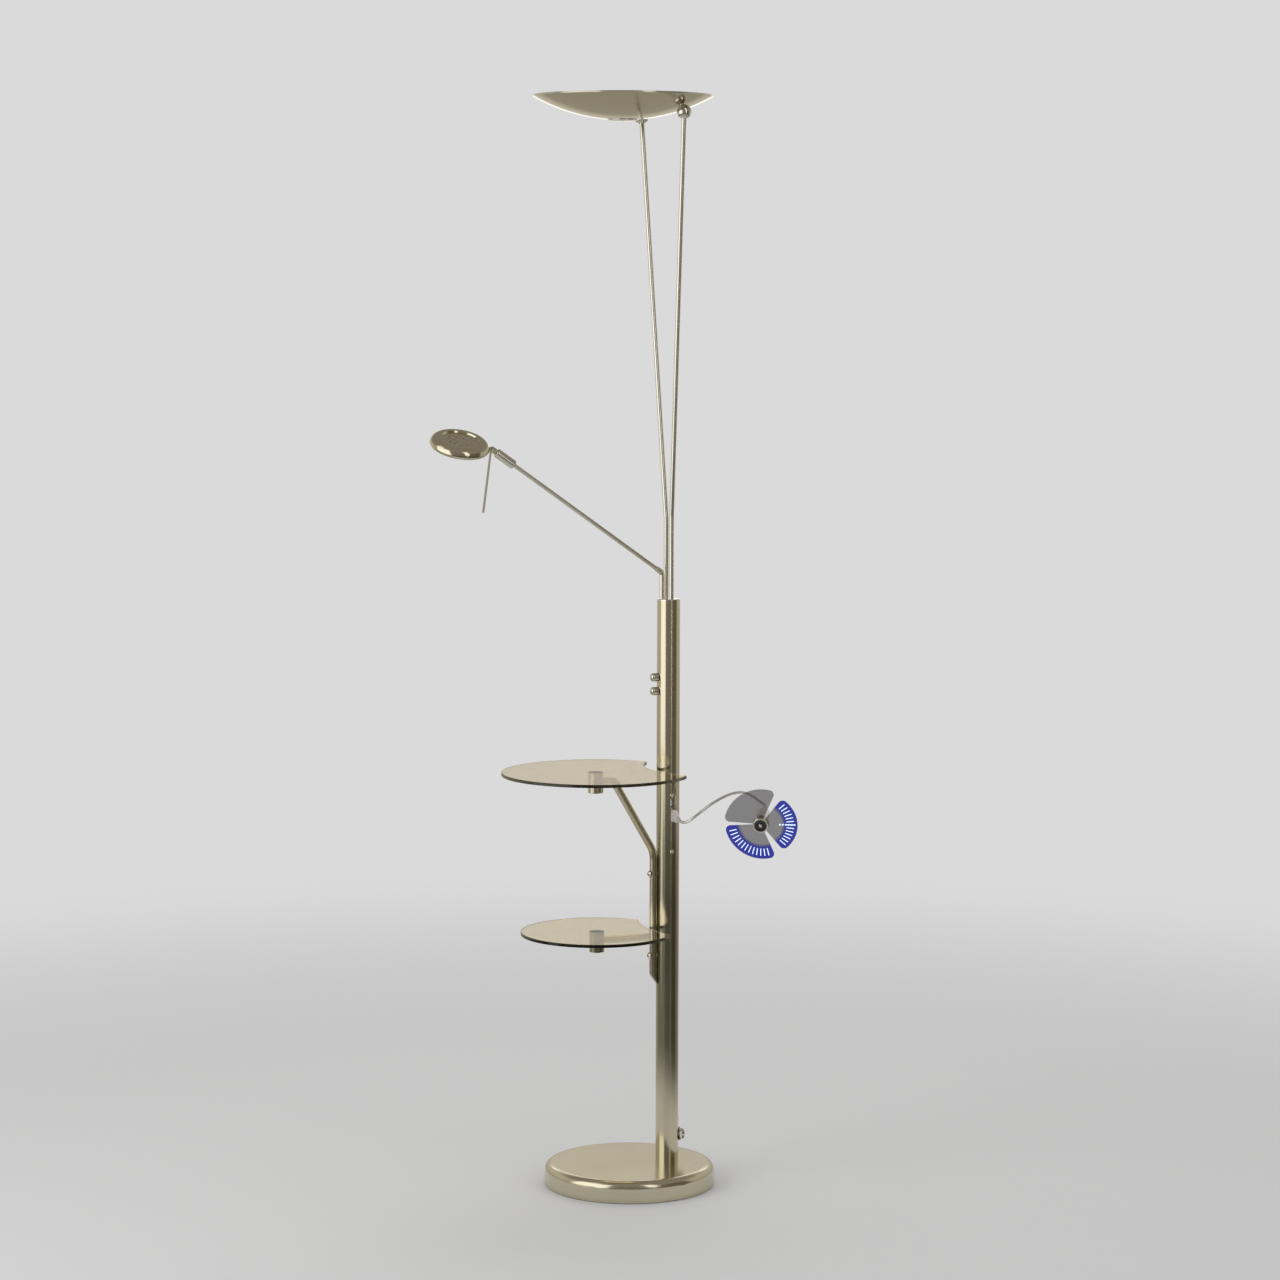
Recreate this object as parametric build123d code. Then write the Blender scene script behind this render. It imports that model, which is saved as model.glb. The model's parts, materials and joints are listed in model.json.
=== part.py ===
from build123d import *
import os
from math import asin, atan2, cos, degrees, radians, sin, sqrt, tan

# Floor lamp with side table, in millimetres.
# Origin at the centre of the base's underside, +Z up, +X from the base's centre to the pole.
# The shelves, the dish and the reading arm reach to -X, and the USB fan hangs at +X -Y.

# Fits
FIT = 0.05            # radial clearance of a running or sliding fit
SEAT = 0.2            # gap under a piece that rests on a curved face

# Base
BASE_R = 141.5
BASE_H = 36.0
BASE_ROUND = 12.5     # radius of the cover's shoulder
COVER_T = 1.5
COVER_LIFT = 1.0      # the cover's skirt stays this far over the floor
PAD_T = 3.0
WEIGHT_R = 118.0
WEIGHT_T = 21.0
HUB_R = 36.0          # raised hub of the weight, under the pole
FOOT_BOLT_R = 6.0
FLANGE_R = 13.0
FLANGE_T = 3.0
HEX_AF = 18.0         # across flats of the foot bolt's head
HEX_T = 7.0
FOOT_PLUG_H = 28.0

# Pole
POLE_X = 67.0
POLE_R = 19.0
POLE_WALL = 1.5
POLE_TOP = 976.0
CAP_FLANGE = 2.5
CAP_SPIGOT = 28.0

# Uplighter rods
ROD_R = 4.0
ROD_BORE = 2.8
ROD_FOOT_DX = 0.0     # from the pole's axis
ROD_FOOT_Y = 12.0
ROD_BEND_Z = 1110.0
ROD_BEND_R = 120.0
BALL_R = 8.0
CLAMP_R = 12.0
CLAMP_GAP = 1.2
TILT_RANGE = 35.0     # the dish tilts this far each way

# Dish
TOTAL_H = 1800.0
DISH_X = -15.6
DISH_R = 146.0
DISH_DEPTH = 40.0
DISH_LIP = 2.5        # straight rim
DISH_WALL = 1.2
HINGE_X = 53.4
HINGE_Y = 95.3
DISC_R = 25.0
DISC_T = 2.2
STEM_R = 4.0
CLAMP_NUT_AF = 14.0
CLAMP_NUT_T = 5.0
CENTRE_BOLT_R = 3.0

# Uplighter lamp
TRAY_L = 150.0
TRAY_W = 84.0
TRAY_FLOOR_L = 122.0
TRAY_FLOOR_W = 50.0
TRAY_H = 20.0
TRAY_T = 1.0
TRAY_LIFT = 8.5       # floor of the tray over the dish's inner bottom
TUBE_L = 116.0
TUBE_R = 5.0
SOCKET_L = 14.0
SOCKET_W = 20.0
SOCKET_H = 18.0
GUARD_T = 4.0

# Reading arm
STUB_DX = -11.5       # from the pole's axis
STUB_R = 4.5
ELBOW_Z = 1021.8
ELBOW_LEG = 13.0
ELBOW_R = 8.0
ARM_R = 3.4
ARM_BORE = 2.0
ARM_RISE = 35.1       # degrees over the horizontal
ARM_REACH = 360.3     # along the arm, from the elbow's corner to the head's pin
RETAINER_R = 5.5
RETAINER_T = 2.0
SLEEVE_R = 7.6
SLEEVE_L = 37.0
SLEEVE_DEPTH = 24.0   # how far the arm goes into the sleeve
PIN_TO_SLEEVE = 8.0
SLEEVE_ROUND = 2.5
SLEEVE_TWIST = -25.8  # degrees about the arm, as photographed
HEAD_TILT = 29.6      # degrees down from the arm's line, as photographed

# Reading head
HEAD_R = 49.0
HEAD_T = 17.0
HEAD_WALL = 1.2
HEAD_DROP = 2.5       # the pin is this far under the head's middle plane
HEAD_WAIST = 11.0     # the widest ring is this far under the crest
HEAD_OUT = 53.8       # from the pin to the head's centre
CREST_R = 36.0        # top edge of the head
RECESS_R = 30.5
RECESS_D = 2.5
HEM_R = 42.5          # bottom edge of the head
VENT_R = 1.6
VENT_RINGS = ((11.0, 6), (20.0, 12))
BEZEL_IN = 36.0
BEZEL_T = 3.0
LENS_T = 2.5
LUG_W = 4.0
LUG_R = 3.6
FORK_GAP = 0.3
FORK_CHEEK = 2.0
PIN_R = 1.5
HANDLE_R = 2.0
HANDLE_L = 109.0
HANDLE_X = 2.4          # from the pin
HANDLE_LEAN = 2.9     # degrees from the head's axis, away from the head
CAPSULE_R = 4.4
CAPSULE_L = 30.0

# Dimmer knobs
KNOB_Z = (848.8, 825.9)
KNOB_R = 7.0
KNOB_L = 12.0
KNOB_ROUND = 4.5
KNOB_GAP = 0.5
SPINDLE_R = 2.5
DIMMER_BUSH_R = 3.5
DIMMER_NUT_AF = 10.0
DIMMER_NUT_T = 2.2
DIMMER_BOX = (17.0, 20.0, 20.0)

# USB module
USB_SCREW_Z = (653.0, 558.8)
FREE_PORT_Z = 640.4
PLUG_Z = 618.5
PORT_H = 14.2
PORT_W = 6.8
PORT_WALL = 0.7
PORT_DEPTH = 14.0
TONGUE_X = 0.15       # from the port's middle to the tongue
TONGUE_T = 1.5
CASE_W = 21.0
CASE_BACK = 1.0
CASE_FRONT = -13.0
SMALL_SCREW_R = 1.75
SMALL_HEAD_R = 3.3
SMALL_HEAD_T = 2.0

# Gland and earth screw
GLAND_Z = 75.8
GLAND_R = 6.0
GLAND_BORE = 3.4
GLAND_AF = 20.0
GLAND_FLANGE = 4.0
GLAND_DOME_R = 9.0
GLAND_DOME = 6.5
EARTH_Z = 102.0
HARNESS_R = 3.0
HARNESS_Y = 9.5

# Shelves
UPPER_TOP_Z = 696.0
LOWER_TOP_Z = 430.2
GLASS_T = 5.0
UPPER_R = 155.5
LOWER_R = 126.0
UPPER_REACH = 128.0   # from the pole's axis to the shelf's centre
LOWER_REACH = 125.6
UPPER_NOTCH = (96.0, 150.0)    # centre to the notch's floor, notch radius
LOWER_NOTCH = (90.0, 240.0)
NOTCH_ROUND = 8.0
GLASS_EDGE = 0.8
BOSS_R = 12.5
BOSS_H = 30.0
BRACKET_R = 6.35
BRACKET_BORE = 5.15
BRACKET_SLOPE = 30.2  # degrees from the vertical
BRACKET_BEND_Z = 557.0
BRACKET_BEND_R = 45.0
TOP_BEND_R = 18.0
FOOT_Z = 343.0
FOOT_CUT = 55.0       # degrees over the horizontal
CUT_BOX = 120.0       # side of the block that cuts the mitre
ARM_DROP = 15.0       # the arm tubes' axis is this far under the glass
BRACKET_SCREW_Z = (520.4, 382.6)
BRACKET_HEAD_R = 6.2
BRACKET_HEAD_T = 4.0
BRACKET_SCREW_R = 2.5
POLE_TOUCH = 0.05     # gap of the bracket to the pole, side by side

# USB fan
PLUG_FRONT = -44.0
PLUG_BACK = -22.0
PLUG_H = 17.0
PLUG_W = 8.0
PLUG_SHELL_H = 12.0
PLUG_SHELL_W = 4.5
PLUG_SHELL_L = 12.5
PLUG_SHELL_WALL = 0.4
NECK_R = 2.4
NECK_SUNK = 6.0       # length of the neck inside the grip
NECK_ROUTE = [
    (67, -50, 618.5), (66.5, -62, 613.5), (73, -76, 616), (88, -82, 629), (109, -80, 643.2), (132, -74, 652.8),
    (155, -66, 658.8), (182, -55, 658.4), (205, -43, 646), (219, -38, 636), (224, -47, 631.5),
]
NECK_SPLIT = 5        # the run after this point of the route holds the bend joint
NECK_BEND = 25.0      # degrees each way
NECK_SOCKET = 18.0    # straight end of the neck behind the fan
FAN_FRONT = Vector(182.5, -122.0, 610.7)
FAN_AZIMUTH = -28.0
FAN_ELEVATION = -15.0
FAN_HUB_R = 13.0
FAN_HUB_L = 15.0
FAN_RING_R = 11.0
FAN_RING_T = 2.0
HOUSING_R = 10.3
HOUSING_L = 38.0
HOUSING_WALL = 1.2
RUN_GAP = 0.8         # axial gap behind the turning hub
MOTOR_R = 8.6
MOTOR_L = 22.0
FAN_SPINDLE_R = 1.0
BLADE_TIP = 60.5
BLADE_ROOT = 12.0
BLADE_SWEEP = 108.0   # degrees that one blade covers
BLADE_T = 1.2
BLADE_PITCH = 7.0
BLADE_CORNER = 8.0
BLADE_COUNT = 3
LIGHT_COUNT = 6
LIGHT_R = 1.5

Z_MIN = (Align.CENTER, Align.CENTER, Align.MIN)


def post(radius, low, high, x=0.0, y=0.0):
    """An upright cylinder between two heights."""
    return Pos(x, y, low) * Cylinder(radius, high - low, align=Z_MIN)


def bar(radius, start, end):
    """A round bar between two points."""
    start = Vector(*start)
    way = Vector(*end) - start
    return Plane(origin=start, z_dir=way) * Cylinder(radius, way.length, align=Z_MIN)


def block(low, high):
    """A box between two corners."""
    size = [b - a for a, b in zip(low, high)]
    middle = [(a + b) / 2 for a, b in zip(low, high)]
    return Pos(*middle) * Box(*size)


def hexagon(flats, low, high):
    """An upright hexagonal prism."""
    face = RegularPolygon(flats / 2, 6, major_radius=False)
    return Pos(0, 0, low) * extrude(face, high - low)


def turned(*outline):
    """A solid of revolution about Z from an outline of (radius, height) edges."""
    return revolve(Plane.XZ * make_face(outline), Axis.Z)


def swept(radius, path):
    """A round bar along a path."""
    start = Plane(origin=path @ 0, z_dir=path % 0)
    return sweep(start * Circle(radius), path)


def domed_head(radius, height):
    """A domed screw head with its flat face at zero and a hexagonal drive."""
    ball = (radius ** 2 + height ** 2) / (2 * height)
    head = (Pos(0, 0, height - ball) * Sphere(ball)) & post(radius, 0, height)
    return head - hexagon(radius * 0.6, height * 0.45, height + 1)


def domed_screw(head_radius, head_height, shank_radius, shank_length):
    """A domed screw, seated at zero, with its shank along -Z."""
    head = domed_head(head_radius, head_height)
    return head + post(shank_radius, -shank_length, head_height * 0.3)


def facing(x, y, z, way):
    """A place whose own Z looks along a direction."""
    return Plane(origin=(x, y, z), z_dir=way).location


# Base

def cover_outline(shrink):
    """Edges of the cover's outer shape, moved inward by a wall."""
    radius, top, corner = BASE_R - shrink, BASE_H - shrink, BASE_ROUND - shrink
    side = Line((radius, COVER_LIFT), (radius, top - corner))
    turn = CenterArc((radius - corner, top - corner), corner, 0, 90)
    lid = Line((radius - corner, top), (0, top))
    axis = Line((0, top), (0, COVER_LIFT))
    floor = Line((0, COVER_LIFT), (radius, COVER_LIFT))
    return side, turn, lid, axis, floor


def base_cover():
    shell = turned(*cover_outline(0)) - turned(*cover_outline(COVER_T))
    return shell - post(FOOT_BOLT_R + FIT, 0, BASE_H + 1, POLE_X)


def base_weight():
    hub_top = BASE_H - COVER_T
    disc = post(WEIGHT_R, PAD_T, PAD_T + WEIGHT_T) + post(HUB_R, PAD_T, hub_top, POLE_X)
    disc = fillet(disc.edges().filter_by(GeomType.CIRCLE).sort_by(Axis.Z)[-2], 2)
    disc -= post(FLANGE_R + 2, 0, bolt_seat(), POLE_X)
    return disc - post(FOOT_BOLT_R + FIT, 0, hub_top + 1, POLE_X)


def bolt_seat():
    """Height of the foot bolt's flange in the weight's counterbore."""
    return PAD_T + HEX_T + FLANGE_T + 1


def base_pad():
    pad = post(BASE_R - COVER_T - FIT, 0, PAD_T)
    return pad - post(FLANGE_R + 3, -1, PAD_T + 1, POLE_X)


def foot_bolt():
    seat = bolt_seat()
    bolt = post(FOOT_BOLT_R, seat - 1, BASE_H + FOOT_PLUG_H - 6)
    bolt += post(FLANGE_R, seat - FLANGE_T, seat)
    bolt += hexagon(HEX_AF, seat - FLANGE_T - HEX_T, seat - FLANGE_T)
    return Pos(POLE_X, 0, 0) * bolt


def foot_plug():
    plug = post(POLE_R - POLE_WALL, BASE_H, BASE_H + FOOT_PLUG_H, POLE_X)
    return plug - post(FOOT_BOLT_R + FIT, 0, BASE_H + FOOT_PLUG_H - 4, POLE_X)


# Pole

def pole_holes():
    """Everything drilled or milled through the pole's wall."""
    out = POLE_R + 1
    holes = [bar(DIMMER_BUSH_R, (POLE_X - out, 0, z), (POLE_X, 0, z)) for z in KNOB_Z]
    screw = SMALL_SCREW_R + FIT
    holes += [bar(screw, (POLE_X, -out, z), (POLE_X, 0, z)) for z in USB_SCREW_Z]
    for z in (FREE_PORT_Z, PLUG_Z):
        half_w, half_h = PORT_W / 2, PORT_H / 2
        low = (POLE_X - half_w, -out, z - half_h)
        holes.append(block(low, (POLE_X + half_w, 0, z + half_h)))
    holes.append(bar(GLAND_R, (POLE_X, 0, GLAND_Z), (POLE_X + out, 0, GLAND_Z)))
    holes.append(bar(screw, (POLE_X, 0, EARTH_Z), (POLE_X + out, 0, EARTH_Z)))
    side = BRACKET_SCREW_R + FIT
    holes += [bar(side, (POLE_X - out, 0, z), (POLE_X, 0, z)) for z in BRACKET_SCREW_Z]
    return holes


def pole():
    tube = post(POLE_R, BASE_H, POLE_TOP, POLE_X)
    tube -= post(POLE_R - POLE_WALL, BASE_H - 1, POLE_TOP + 1, POLE_X)
    return tube - pole_holes()


def pole_top_cap():
    top = POLE_TOP + CAP_FLANGE
    cap = post(POLE_R, POLE_TOP, top, POLE_X)
    cap = chamfer(cap.edges().sort_by(Axis.Z)[-1], 0.6)
    cap += post(POLE_R - POLE_WALL - FIT, POLE_TOP - CAP_SPIGOT, POLE_TOP, POLE_X)
    low = POLE_TOP - CAP_SPIGOT - 1
    for side in (-1, 1):
        cap -= post(ROD_R, low, top + 1, POLE_X + ROD_FOOT_DX, side * ROD_FOOT_Y)
    return cap - post(STUB_R + FIT, low, top + 1, POLE_X + STUB_DX)


def pole_wiring():
    """The harness from the gland up to the lower dimmer, and the lead from there to a rod."""
    start = (POLE_X + 8, 0, GLAND_Z)
    low = (POLE_X - 2, HARNESS_Y, GLAND_Z + 40)
    end_z = KNOB_Z[1] - DIMMER_BOX[2] / 2
    path = FilletPolyline(start, (POLE_X, 0, GLAND_Z), low, (low[0], low[1], end_z), radius=[4, 30])
    foot_z = KNOB_Z[0] + DIMMER_BOX[2] / 2
    lead_end = POLE_TOP - CAP_SPIGOT + 10
    lead = post(ROD_BORE - 0.3, foot_z, lead_end, POLE_X + ROD_FOOT_DX, ROD_FOOT_Y)
    return Compound(children=[swept(HARNESS_R, path), lead])


# Gland and earth screw

def cable_gland():
    """Gland body: threaded stub through the wall, hexagonal flange and its inner end."""
    inner = POLE_R - POLE_WALL
    body = post(GLAND_R, inner - 7, POLE_R + 0.6)
    body += hexagon(GLAND_AF, POLE_R + 0.6, POLE_R + 0.6 + GLAND_FLANGE)
    body += post(GLAND_R - 0.2, POLE_R, POLE_R + 0.6 + GLAND_FLANGE + 3)
    body -= post(GLAND_BORE, 0, POLE_R + 30)
    return facing(POLE_X, 0, GLAND_Z, (1, 0, 0)) * body


def gland_nuts():
    """The domed clamping nut outside and the lock nut inside the pole."""
    foot = POLE_R + 0.6 + GLAND_FLANGE
    top = foot + GLAND_DOME
    shape = turned(
        Line((GLAND_R, foot), (GLAND_DOME_R, foot)),
        Line((GLAND_DOME_R, foot), (GLAND_DOME_R, top - 3)),
        RadiusArc((GLAND_DOME_R, top - 3), (GLAND_DOME_R - 3, top), -3),
        Line((GLAND_DOME_R - 3, top), (GLAND_BORE, top)),
        Line((GLAND_BORE, top), (GLAND_BORE, foot + 3.2)),
        Line((GLAND_BORE, foot + 3.2), (GLAND_R, foot + 3.2)),
        Line((GLAND_R, foot + 3.2), (GLAND_R, foot)),
    )
    flat = POLE_R - POLE_WALL - 6.5
    lock = hexagon(GLAND_AF - 4, flat, flat + 3) - post(GLAND_R, 0, POLE_R)
    place = facing(POLE_X, 0, GLAND_Z, (1, 0, 0))
    return Compound(children=[place * shape, place * lock])


def earth_screw():
    screw = domed_screw(SMALL_HEAD_R, SMALL_HEAD_T, SMALL_SCREW_R, 6)
    return facing(POLE_X + POLE_R + FIT, 0, EARTH_Z, (1, 0, 0)) * screw


# Dimmers

def dimmer_place(z):
    """Own Z looks out of the pole at the knob's side, with zero on the pole's axis."""
    return Plane(origin=(POLE_X, 0, z), x_dir=(0, 1, 0), z_dir=(-1, 0, 0)).location


def dimmer_modules():
    """Both dimmers: a box in the pole and a threaded bush through its wall."""
    deep, wide, tall = DIMMER_BOX
    face = POLE_R - POLE_WALL - 5
    shape = block((-wide / 2, -tall / 2, face - deep), (wide / 2, tall / 2, face))
    shape += post(DIMMER_BUSH_R - FIT, face, knob_base() + DIMMER_NUT_T - 0.2)
    shape -= post(SPINDLE_R + FIT, face - 8, POLE_R + KNOB_L)
    return Compound(children=[dimmer_place(z) * shape for z in KNOB_Z])


def knob_base():
    """Distance of the knob's foot from the pole's axis."""
    return POLE_R + KNOB_GAP


def dimmer_nuts():
    nut = hexagon(DIMMER_NUT_AF, POLE_R, POLE_R + DIMMER_NUT_T) - post(DIMMER_BUSH_R, 0, 30)
    return Compound(children=[dimmer_place(z) * nut for z in KNOB_Z])


def dimmer_knob(z):
    foot = knob_base()
    knob = post(KNOB_R, foot, foot + KNOB_L)
    knob = fillet(knob.edges().group_by(Axis.Z)[-1], KNOB_ROUND)
    hollow = DIMMER_NUT_AF / sqrt(3) + KNOB_GAP / 2
    knob -= post(hollow, foot - 1, foot + DIMMER_NUT_T + 0.3)
    knob += post(SPINDLE_R, POLE_R - POLE_WALL - 10, foot + DIMMER_NUT_T + 1)
    knob -= block((-0.5, KNOB_R - 1.6, foot + KNOB_L * 0.25), (0.5, KNOB_R + 1, foot + KNOB_L + 1))
    return dimmer_place(z) * knob


# USB module

def port_box(z, front, back, grow=0.0):
    """A block of the port's outer section between two depths."""
    half_w, half_h = PORT_W / 2 + grow, PORT_H / 2 + grow
    return block((POLE_X - half_w, front, z - half_h), (POLE_X + half_w, back, z + half_h))


def port_front():
    """The ports end flush with the pole's outside."""
    return -sqrt(POLE_R ** 2 - (PORT_W / 2) ** 2)


def usb_module_case():
    low = (POLE_X - CASE_W / 2, CASE_FRONT, USB_SCREW_Z[1] - 6)
    case = block(low, (POLE_X + CASE_W / 2, CASE_BACK, USB_SCREW_Z[0] + 6))
    case = fillet(case.edges().filter_by(Axis.Z), 1)
    for z in (FREE_PORT_Z, PLUG_Z):
        case -= port_box(z, CASE_FRONT - 1, port_front() + PORT_DEPTH)
    for z in USB_SCREW_Z:
        boss_end = 1 - POLE_R + POLE_WALL
        case += bar(4, (POLE_X, CASE_FRONT + 1, z), (POLE_X, boss_end, z))
        case -= bar(SMALL_SCREW_R, (POLE_X, -POLE_R, z), (POLE_X, CASE_FRONT + 8, z))
    return case


def usb_ports():
    """Both ports: a metal shell round a cavity, with the contact tongue in it."""
    front = port_front()
    back = front + PORT_DEPTH
    ports = []
    for z in (FREE_PORT_Z, PLUG_Z):
        shell = port_box(z, front, back) - port_box(z, front - 1, back - 1, -PORT_WALL)
        tongue_x = POLE_X + TONGUE_X
        half_h = PORT_H / 2 - PORT_WALL - 0.9
        shell += block((tongue_x, front + 1.5, z - half_h), (tongue_x + TONGUE_T, back - 0.5, z + half_h))
        ports.append(shell)
    return Compound(children=ports)


def usb_screws():
    screw = domed_screw(SMALL_HEAD_R, SMALL_HEAD_T, SMALL_SCREW_R, 11)
    seat = -POLE_R - FIT
    return Compound(children=[facing(POLE_X, seat, z, (0, -1, 0)) * screw for z in USB_SCREW_Z])


# Shelves

def shelf_glass(radius, reach, top, notch):
    """A glass disc with a rounded notch towards the pole."""
    floor, notch_r = notch
    far = floor + notch_r
    disc = Circle(radius) - Pos(far, 0) * Circle(notch_r)
    corners = disc.vertices().group_by(Axis.X)[-1]
    disc = fillet(corners, NOTCH_ROUND)
    plate = extrude(disc, GLASS_T)
    plate = chamfer(plate.faces().sort_by(Axis.Z)[-1].edges(), GLASS_EDGE)
    return Pos(POLE_X - reach, 0, top - GLASS_T) * plate


def shelf_bosses():
    bosses = []
    for reach, top in ((UPPER_REACH, UPPER_TOP_Z), (LOWER_REACH, LOWER_TOP_Z)):
        high = top - GLASS_T
        boss = post(BOSS_R, high - BOSS_H, high, POLE_X - reach)
        bosses.append(chamfer(boss.edges().sort_by(Axis.Z)[0], 0.8))
    return Compound(children=bosses)


def bracket_x():
    """X of the bracket's upright, beside the pole."""
    return POLE_X - POLE_R - POLE_TOUCH - BRACKET_R


def bracket_path():
    """Boss to short level run, down the slope, then down beside the pole."""
    level = UPPER_TOP_Z - GLASS_T - ARM_DROP
    run = (level - BRACKET_BEND_Z) * tan(radians(BRACKET_SLOPE))
    return FilletPolyline(
        (POLE_X - UPPER_REACH + BOSS_R / 2, 0, level),
        (bracket_x() - run, 0, level),
        (bracket_x(), 0, BRACKET_BEND_Z),
        (bracket_x(), 0, FOOT_Z - 30),
        radius=[TOP_BEND_R, BRACKET_BEND_R],
    )


def foot_cutter():
    """The half space under the mitred foot."""
    middle = Vector(bracket_x(), 0, FOOT_Z)
    way = Vector(-sin(radians(FOOT_CUT)), 0, -cos(radians(FOOT_CUT)))
    return Plane(origin=middle, z_dir=way) * Pos(0, 0, CUT_BOX / 2) * Box(CUT_BOX, CUT_BOX, CUT_BOX)


def bracket_tube():
    """Closed at its mitred foot by a welded plate."""
    path = bracket_path()
    tube = swept(BRACKET_R, path)
    bore = swept(BRACKET_BORE, path) - Pos(0, 0, 2.5) * foot_cutter()
    tube = tube - foot_cutter() - bore
    tube -= post(BOSS_R, 0, UPPER_TOP_Z, POLE_X - UPPER_REACH)
    side = BRACKET_SCREW_R + FIT
    for z in BRACKET_SCREW_Z:
        tube -= bar(side, (bracket_x() - 10, 0, z), (bracket_x() + 10, 0, z))
    return tube


def lower_arm_tube():
    """Coped to the lower boss and to the bracket's upright."""
    level = LOWER_TOP_Z - GLASS_T - ARM_DROP
    ends = ((POLE_X - LOWER_REACH, 0, level), (bracket_x(), 0, level))
    tube = bar(BRACKET_R - 0.3, *ends) - bar(BRACKET_BORE - 0.3, *ends)
    tube -= post(BOSS_R, 0, UPPER_TOP_Z, POLE_X - LOWER_REACH)
    return tube - post(BRACKET_R, 0, UPPER_TOP_Z, bracket_x())


def bracket_screws():
    screw = domed_screw(BRACKET_HEAD_R, BRACKET_HEAD_T, BRACKET_SCREW_R, 2 * BRACKET_R + 6)
    seat = bracket_x() - BRACKET_R - FIT
    return Compound(children=[facing(seat, 0, z, (-1, 0, 0)) * screw for z in BRACKET_SCREW_Z])


# Uplighter rods and their clamps

def dish_ball_r():
    """Radius of the sphere that the dish's underside follows."""
    depth = DISH_DEPTH - DISH_LIP
    return (DISH_R ** 2 + depth ** 2) / (2 * depth)


def dish_ball_centre():
    return Vector(DISH_X, 0, TOTAL_H - DISH_DEPTH + dish_ball_r())


def hinge_z():
    """The clamps' balls sit just clear of the dish's underside."""
    centre = dish_ball_centre()
    side = sqrt((HINGE_X - DISH_X) ** 2 + HINGE_Y ** 2)
    away = dish_ball_r() + CLAMP_R + 0.3
    return centre.Z - sqrt(away ** 2 - side ** 2)


def ball_centre(side):
    return Vector(HINGE_X, side * HINGE_Y, hinge_z())


def rod_path(side):
    """Up from the cap, then outward to the ball."""
    x, y = POLE_X + ROD_FOOT_DX, side * ROD_FOOT_Y
    corner = Vector(x, y, ROD_BEND_Z)
    centre = ball_centre(side)
    end = centre + (corner - centre).normalized() * (BALL_R * 0.25)
    return FilletPolyline((x, y, POLE_TOP - CAP_SPIGOT), corner, end, radius=ROD_BEND_R)


def rod(side):
    path = rod_path(side)
    return swept(ROD_R, path) - swept(ROD_BORE, path)


def rod_end_balls():
    """One ball on each rod, bored to take the rod's end."""
    balls = []
    for side in (-1, 1):
        path = rod_path(side)
        centre = ball_centre(side)
        ball = Pos(centre) * Sphere(BALL_R)
        balls.append(ball - bar(ROD_R, path @ 1, (path @ 1) - (path % 1) * 2 * BALL_R))
    return Compound(children=balls)


def clamp_slot():
    """What the rod needs in the clamp over the dish's tilt, with the ball at zero."""
    lean = ball_centre(1) - Vector(POLE_X + ROD_FOOT_DX, ROD_FOOT_Y, ROD_BEND_Z)
    wander = CLAMP_R * lean.Y / lean.Z
    half = ROD_R + 0.5
    deep = CLAMP_R + 1
    spread = tan(radians(TILT_RANGE))
    top = half / cos(radians(TILT_RANGE))
    outline = Polyline(
        (-top, 0), (top, 0), (top + deep * spread, -deep), (-top - deep * spread, -deep), close=True
    )
    wedge = extrude(Plane.XZ * make_face(outline), half + wander / 2, both=True)
    return wedge, wander / 2


def clamp_solid(side):
    """A hollow ball round the rod's ball with a stem through the dish, before it is split."""
    centre = ball_centre(side)
    normal = (dish_ball_centre() - centre).normalized()
    reach = CLAMP_R + DISH_WALL + CLAMP_NUT_T + 2.5
    shape = Sphere(CLAMP_R) + bar(STEM_R, (0, 0, 0), normal * reach)
    shape -= Sphere(BALL_R + FIT)
    wedge, shift = clamp_slot()
    return Pos(centre) * (shape - Pos(0, -side * shift, 0) * wedge)


def clamp_halves(half):
    """The clamp halves of one side, at both balls."""
    pieces = []
    for side in (-1, 1):
        centre = ball_centre(side)
        far = 5 * CLAMP_R
        keep = block((CLAMP_GAP / 2, -far, -far), (far, far, far))
        if half < 0:
            keep = block((-far, -far, -far), (-CLAMP_GAP / 2, far, far))
        pieces.append(clamp_solid(side) & (Pos(centre) * keep))
    return Compound(children=pieces)


def clamp_axis(side, offset):
    """Own Z along the clamp's stem, at a distance over the dish's underside."""
    centre = ball_centre(side)
    normal = (dish_ball_centre() - centre).normalized()
    away = CLAMP_R + 0.3 + offset
    return Plane(origin=centre + normal * away, z_dir=normal).location


def clamp_nuts():
    inner = dish_ball_r() - DISH_WALL
    lift = DISH_WALL + inner - sqrt(inner ** 2 - (CLAMP_NUT_AF / sqrt(3)) ** 2) + FIT
    nut = hexagon(CLAMP_NUT_AF, 0, CLAMP_NUT_T) - post(STEM_R + FIT, -1, CLAMP_NUT_T + 1)
    return Compound(children=[clamp_axis(side, lift) * nut for side in (-1, 1)])


# Dish

def dish_outline(shrink):
    """Edges of a closed half section: sphere, straight lip, open top and the axis."""
    ball = dish_ball_r() - shrink
    bottom = TOTAL_H - DISH_DEPTH + shrink
    radius = DISH_R - shrink
    lip = dish_ball_centre().Z - sqrt(ball ** 2 - radius ** 2)
    half_angle = degrees(asin(radius / ball))
    bowl = CenterArc((0, dish_ball_centre().Z), ball, -90, half_angle)
    side = Line((radius, lip), (radius, TOTAL_H))
    top = Line((radius, TOTAL_H), (0, TOTAL_H))
    axis = Line((0, TOTAL_H), (0, bottom))
    return bowl, side, top, axis


def dish_shell():
    """Spun bowl with a thin rim bead, holed for the stems and the centre bolt."""
    shell = turned(*dish_outline(0)) - turned(*dish_outline(DISH_WALL))
    bead = Pos(0, 0, TOTAL_H - DISH_WALL) * Torus(DISH_R - DISH_WALL, DISH_WALL)
    shell = Pos(DISH_X, 0, 0) * (shell + bead)
    for side in (-1, 1):
        hole = post(STEM_R + 0.1, -6, DISH_WALL + 6)
        shell -= clamp_axis(side, 0) * hole
    return shell - post(CENTRE_BOLT_R + FIT, 0, TOTAL_H, DISH_X)


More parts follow.
